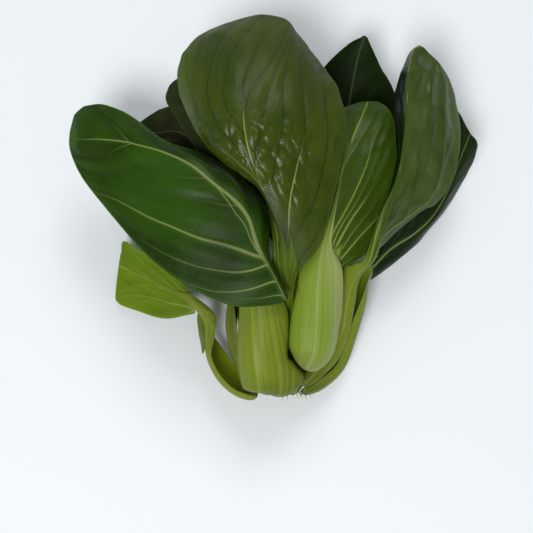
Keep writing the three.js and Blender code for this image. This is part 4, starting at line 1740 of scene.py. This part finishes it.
                Vein(((0, 0.12), (0.06, 0.3), (0.14, 0.42), (0.195, 0.47), (0.29, 0.36),
                      (0.36, 0.28), (0.46, 0.3), (0.58, 0.40), (0.7, 0.45), (0.82, 0.6),
                      (0.95, 1.0)), 0.7, 0.4),
                Vein(((0.42, 0), (0.5, 0.08), (0.62, 0.16), (0.74, 0.24), (0.86, 0.4),
                      (0.97, 0.9)), 0.6, 0.3),
                Vein(((0.62, 0), (0.72, 0.08), (0.84, 0.16), (0.95, 0.4), (1.0, 0.8)),
                     0.5, 0.3)),
            right=(Vein(((0.1, 0), (0.5, 1.0)), 0.2, 0.1),),
            quilt=0.5, lift=0.15, wrinkle=1.0, wrinkle_size=10.0),
        # painted shade over the whole right half, which falls away steeply beside the fold
        density=Density.MAIN, rib_fade=3, patches=(Patch(0.5, 1.0, 0.9, 0.95, -1.0),),
        seed=11),
    Leaf(
        name="leaf_far_right",
        petiole=((13.5, -89.8, 19.4, 5, 3, -20), (22.5, -84.5, 14.5, 10, 5, -22),
                 (32, -75, 11.5, 14, 5.5, -18), (38.5, -58, 15, 12.5, 5.5, -12),
                 (43, -42, 23, 11, 5, -30)),
        blade=(
            ((46, -26, 34), (50, -28, 33), (48, -35, 30)),
            ((54, -12, 36), (59, -19, 34), (58, -28, 28)),
            ((61, 3, 38), (70, -12, 35), (72, -16, 28)),
            ((69, 21, 39), (80, -3, 36), (86, -1, 28)),
            ((77, 39, 39), (89, 12, 36), (95, 13, 28)),
            ((85, 52, 39), (95, 27, 36), (103, 27, 30)),
            ((94, 56, 38), (101, 41, 36), (106, 38, 33))),
        wave_height=0.6,
        blade_finish=DARK_IN_SHADE, stalk_finish=BAND_STALK,
        venation=Venation.even(5, high=0.75, width=0.6),
        foot=NO_FOOT, rib_sink=0.3, seed=13),
    Leaf(
        name="leaf_back_right",
        petiole=((8.5, -91, 15, 7, 3.5, -62), (10.5, -83, 12, 13, 6, -65),
                 (14.5, -66, 7.2, 19, 8, -70), (19, -44, 6.5, 16, 6, -80)),
        blade=(
            ((17, -19, 7), (25, -21, 6), (33, -20, 7)),
            ((16, 7, 8), (34, 5, 4.2), (52, 7, 6)),
            ((14, 32, 14), (37, 30, 12), (66, 32, 10)),
            ((16, 55, 20), (39, 53, 21), (70, 54, 15)),
            ((25, 78, 25), (42, 72, 28), (64, 70, 22)),
            ((38, 90, 32), (45, 86, 33), (57, 80, 28)),
            ((46, 93.5, 36), (48, 94, 36.5), (50, 91.5, 35.5))),
        blade_finish=SHADE, stalk_finish=STALK,
        venation=Venation.even(6, quilt=0.4),
        seed=17),
    Leaf(
        name="leaf_back_left",
        petiole=((-5, -88, 27, 6, 3.5, 155), (-14, -80, 26, 8.5, 4, 168),
                 (-18.5, -68, 28.5, 10.5, 4, 176), (-20, -52, 32.5, 11, 4, 184)),
        blade=(
            ((-24, -26, 36), (-18, -26, 34), (-11, -24, 36)),
            ((-37, -8, 38), (-19, -4, 36), (-4, -8, 38)),
            ((-52, 5, 38), (-25, 17, 38), (-6, 10, 40)),
            ((-65, 18, 38), (-34, 31, 40), (-18, 30, 42)),
            ((-75, 31, 38), (-48, 40, 41), (-37, 54, 42)),
            ((-77, 39, 38), (-62, 40, 40), (-52, 54, 41)),
            ((-75, 43, 37), (-70, 45, 38), (-62, 51, 39))),
        wave_height=0.6,
        blade_finish=DUSK, stalk_finish=OLIVE_STALK,
        venation=Venation.even(6, quilt=0.4, width=1.0),
        seed=19),
    Leaf(
        name="leaf_inner_left",
        petiole=((0, -77, 20, 6, 3, -150), (-4, -64, 27, 9, 4, -140),
                 (-8, -44, 36, 10, 4, -120)),
        blade=(
            ((-17, -13, 46), (-12, -13, 46), (-6, -13, 46)),
            ((-26, 5, 48), (-14, 8, 49), (-3, 8, 48)),
            ((-37, 25, 50), (-21, 28, 52), (-3, 30, 50)),
            ((-48, 43, 50), (-29, 46, 53), (-8, 51, 51)),
            ((-54, 54, 50), (-38, 59, 53), (-19, 65, 52)),
            ((-52, 63, 50), (-43, 67, 51), (-35, 70, 51))),
        wave_height=0.6,
        blade_finish=DUSK, stalk_finish=OLIVE_STALK,
        venation=Venation.even(5, quilt=0.3), seed=23),
    Leaf(
        name="leaf_low_left",
        petiole=((-8, -92, 21, 8, 3.5, 200), (-17, -88, 19.5, 13, 4.5, 208),
                 (-24.2, -81, 17.5, 15, 5, 212), (-29.8, -71, 17.5, 14, 4.5, 208),
                 (-31.8, -62, 18, 11.5, 4, 176), (-33.6, -52, 19.5, 9, 3.5, 140)),
        blade=(
            ((-43, -39, 20.5), (-41, -44, 20.5), (-40, -50, 19.5)),
            ((-50, -31, 21), (-48, -40, 20), (-46, -51, 18)),
            ((-59, -23, 20), (-56, -36, 17.5), (-56, -52, 14)),
            ((-72, -15, 17), (-69, -29, 13), (-70, -48, 9)),
            ((-79, -11, 14), (-78, -25, 10), (-80, -44, 6)),
            ((-80, -15, 12), (-82, -23, 8), (-84, -41, 5))),
        wave_height=0.7,
        blade_finish=FRESH, stalk_finish=EDGE_STALK,
        venation=Venation(
            left=(
                Vein(((0, 0.3), (0.2, 0.4), (0.4, 0.7), (0.55, 1.0)), 0.8, 0.3),
                Vein(((0.2, 0), (0.4, 0.25), (0.6, 0.55), (0.8, 0.9), (0.85, 1.0)), 0.8, 0.3),
                Vein(((0.5, 0), (0.7, 0.25), (0.9, 0.6), (1.0, 0.8)), 0.6, 0.3)),
            right=(
                Vein(((0, 0.85), (0.2, 0.85), (0.4, 0.9), (0.55, 1.0)), 0.6, 0.3),
                Vein(((0, 0.6), (0.2, 0.52), (0.43, 0.48), (0.6, 0.56), (0.8, 0.75),
                      (0.95, 1.0)), 1.0, 0.5),
                Vein(((0.3, 0), (0.5, 0.15), (0.7, 0.4), (0.9, 0.7), (1.0, 0.9)), 0.7, 0.3)),
            quilt=0.4, wrinkle=0.5, wrinkle_size=9.0, blister=0.4, blister_size=5.0),
        density=Density.MAIN, tip_round=(0.02, 0.2), ridge=0.5, rib_fade=5, seed=29),
    Leaf(
        name="leaf_under",
        petiole=((-1.5, -91, 14.5, 8, 3.5, -118), (-5, -83, 12.5, 14, 6, -114),
                 (-8, -66, 7.2, 19, 8, -108), (-12, -44, 6.5, 16, 6, -98)),
        blade=(
            ((-24, -20, 6.5), (-16, -22, 6), (-8, -20, 6.5)),
            ((-48, 0, 8), (-24, 2, 5), (-4, 4, 9)),
            ((-66, 20, 7), (-36, 24, 3.4), (-8, 30, 9)),
            ((-74, 34, 4.5), (-48, 44, 2), (-22, 50, 6)),
            ((-71, 47, 2.2), (-58, 55, 1.6), (-44, 58, 3))),
        blade_finish=DARK, stalk_finish=STALK,
        venation=Venation.even(5, quilt=0.3), seed=31),
    Leaf(
        name="leaf_inner_low",
        petiole=((6, -78, 19, 8, 4, -80), (7, -60, 20, 11, 5, -85),
                 (8, -40, 22, 11, 4, -88)),
        blade=(
            ((1, -20, 26), (8, -20, 25), (15, -20, 26)),
            ((-6, 4, 30), (10, 4, 28), (26, 4, 30)),
            ((-8, 28, 34), (12, 28, 32), (32, 28, 33)),
            ((-2, 48, 38), (14, 50, 36), (28, 46, 36)),
            ((9, 60, 40), (14, 62, 40), (19, 59, 39))),
        blade_finish=MID, stalk_finish=STALK,
        venation=Venation.even(5, quilt=0.3), seed=37),
    Leaf(
        name="leaf_heart",
        petiole=((12.5, -76, 28, 6, 3, 35), (14.5, -62, 31, 8, 4, 45),
                 (14.5, -44, 34, 8, 3, 60)),
        blade=(
            ((18, -26, 37), (14, -26, 39), (10, -26, 38)),
            ((24, -12, 39), (15, -10, 42), (6, -12, 40)),
            ((24, 4, 40), (14, 6, 44), (4, 4, 41)),
            ((18, 15, 40), (13, 17, 42), (7, 16, 41))),
        wave_height=0.4, wave_count=2,
        blade_finish=FRESH, stalk_finish=STALK,
        venation=Venation.even(4, quilt=0.3), seed=41),
)


FIBRES = Fibres(roots=(
    (9.5, -90, 29, 0.1, -1, 0.2), (11, -90, 27, 0.3, -1, 0.3),
    (12, -89.5, 25, 0.5, -1, 0.2), (12.5, -89.5, 22.5, 0.6, -1, -0.1),
    (14, -90, 20.5, 0.1, -1, 0.3), (15.5, -90, 19.5, 0.3, -1, 0.4),
    (17, -89.2, 18.5, 0.6, -1, 0.1), (19, -88, 17.5, 0.4, -1, 0.3),
    (20.5, -87.2, 16.8, 0.9, -1, 0.2), (22, -86.6, 16, 0.6, -1, 0.4),
    (23.5, -85.6, 15.5, 0.9, -1, 0.1), (7, -91, 30, -0.1, -1, 0.1),
    (4, -91.5, 30.5, 0.2, -1, 0.1), (-9, -91.5, 29.5, -0.4, -1, 0.2),
    (-11, -91, 24, -0.5, -1, 0.3), (-12.5, -91.5, 22, -0.3, -1, 0.1),
    (-15, -90.5, 21, -0.6, -1, 0.2)))

FLAP = Flap(path=((-38.4, -50, 20), (-37.6, -54.5, 19.5), (-36.7, -61, 19), (-36.0, -66, 18),
                  (-36.2, -70.5, 17)),
            widths=(2.0, 3.0, 3.0, 2.4, 1.2))


def main() -> None:
    """Loads the frame and builds every piece round it."""
    logging.basicConfig(level=logging.INFO, format="%(name)s: %(message)s")
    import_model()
    Studio().build()
    Crown().build()
    FIBRES.build()
    FLAP.build()
    for leaf in LEAVES:
        leaf.build()


if __name__ == "__main__":
    main()
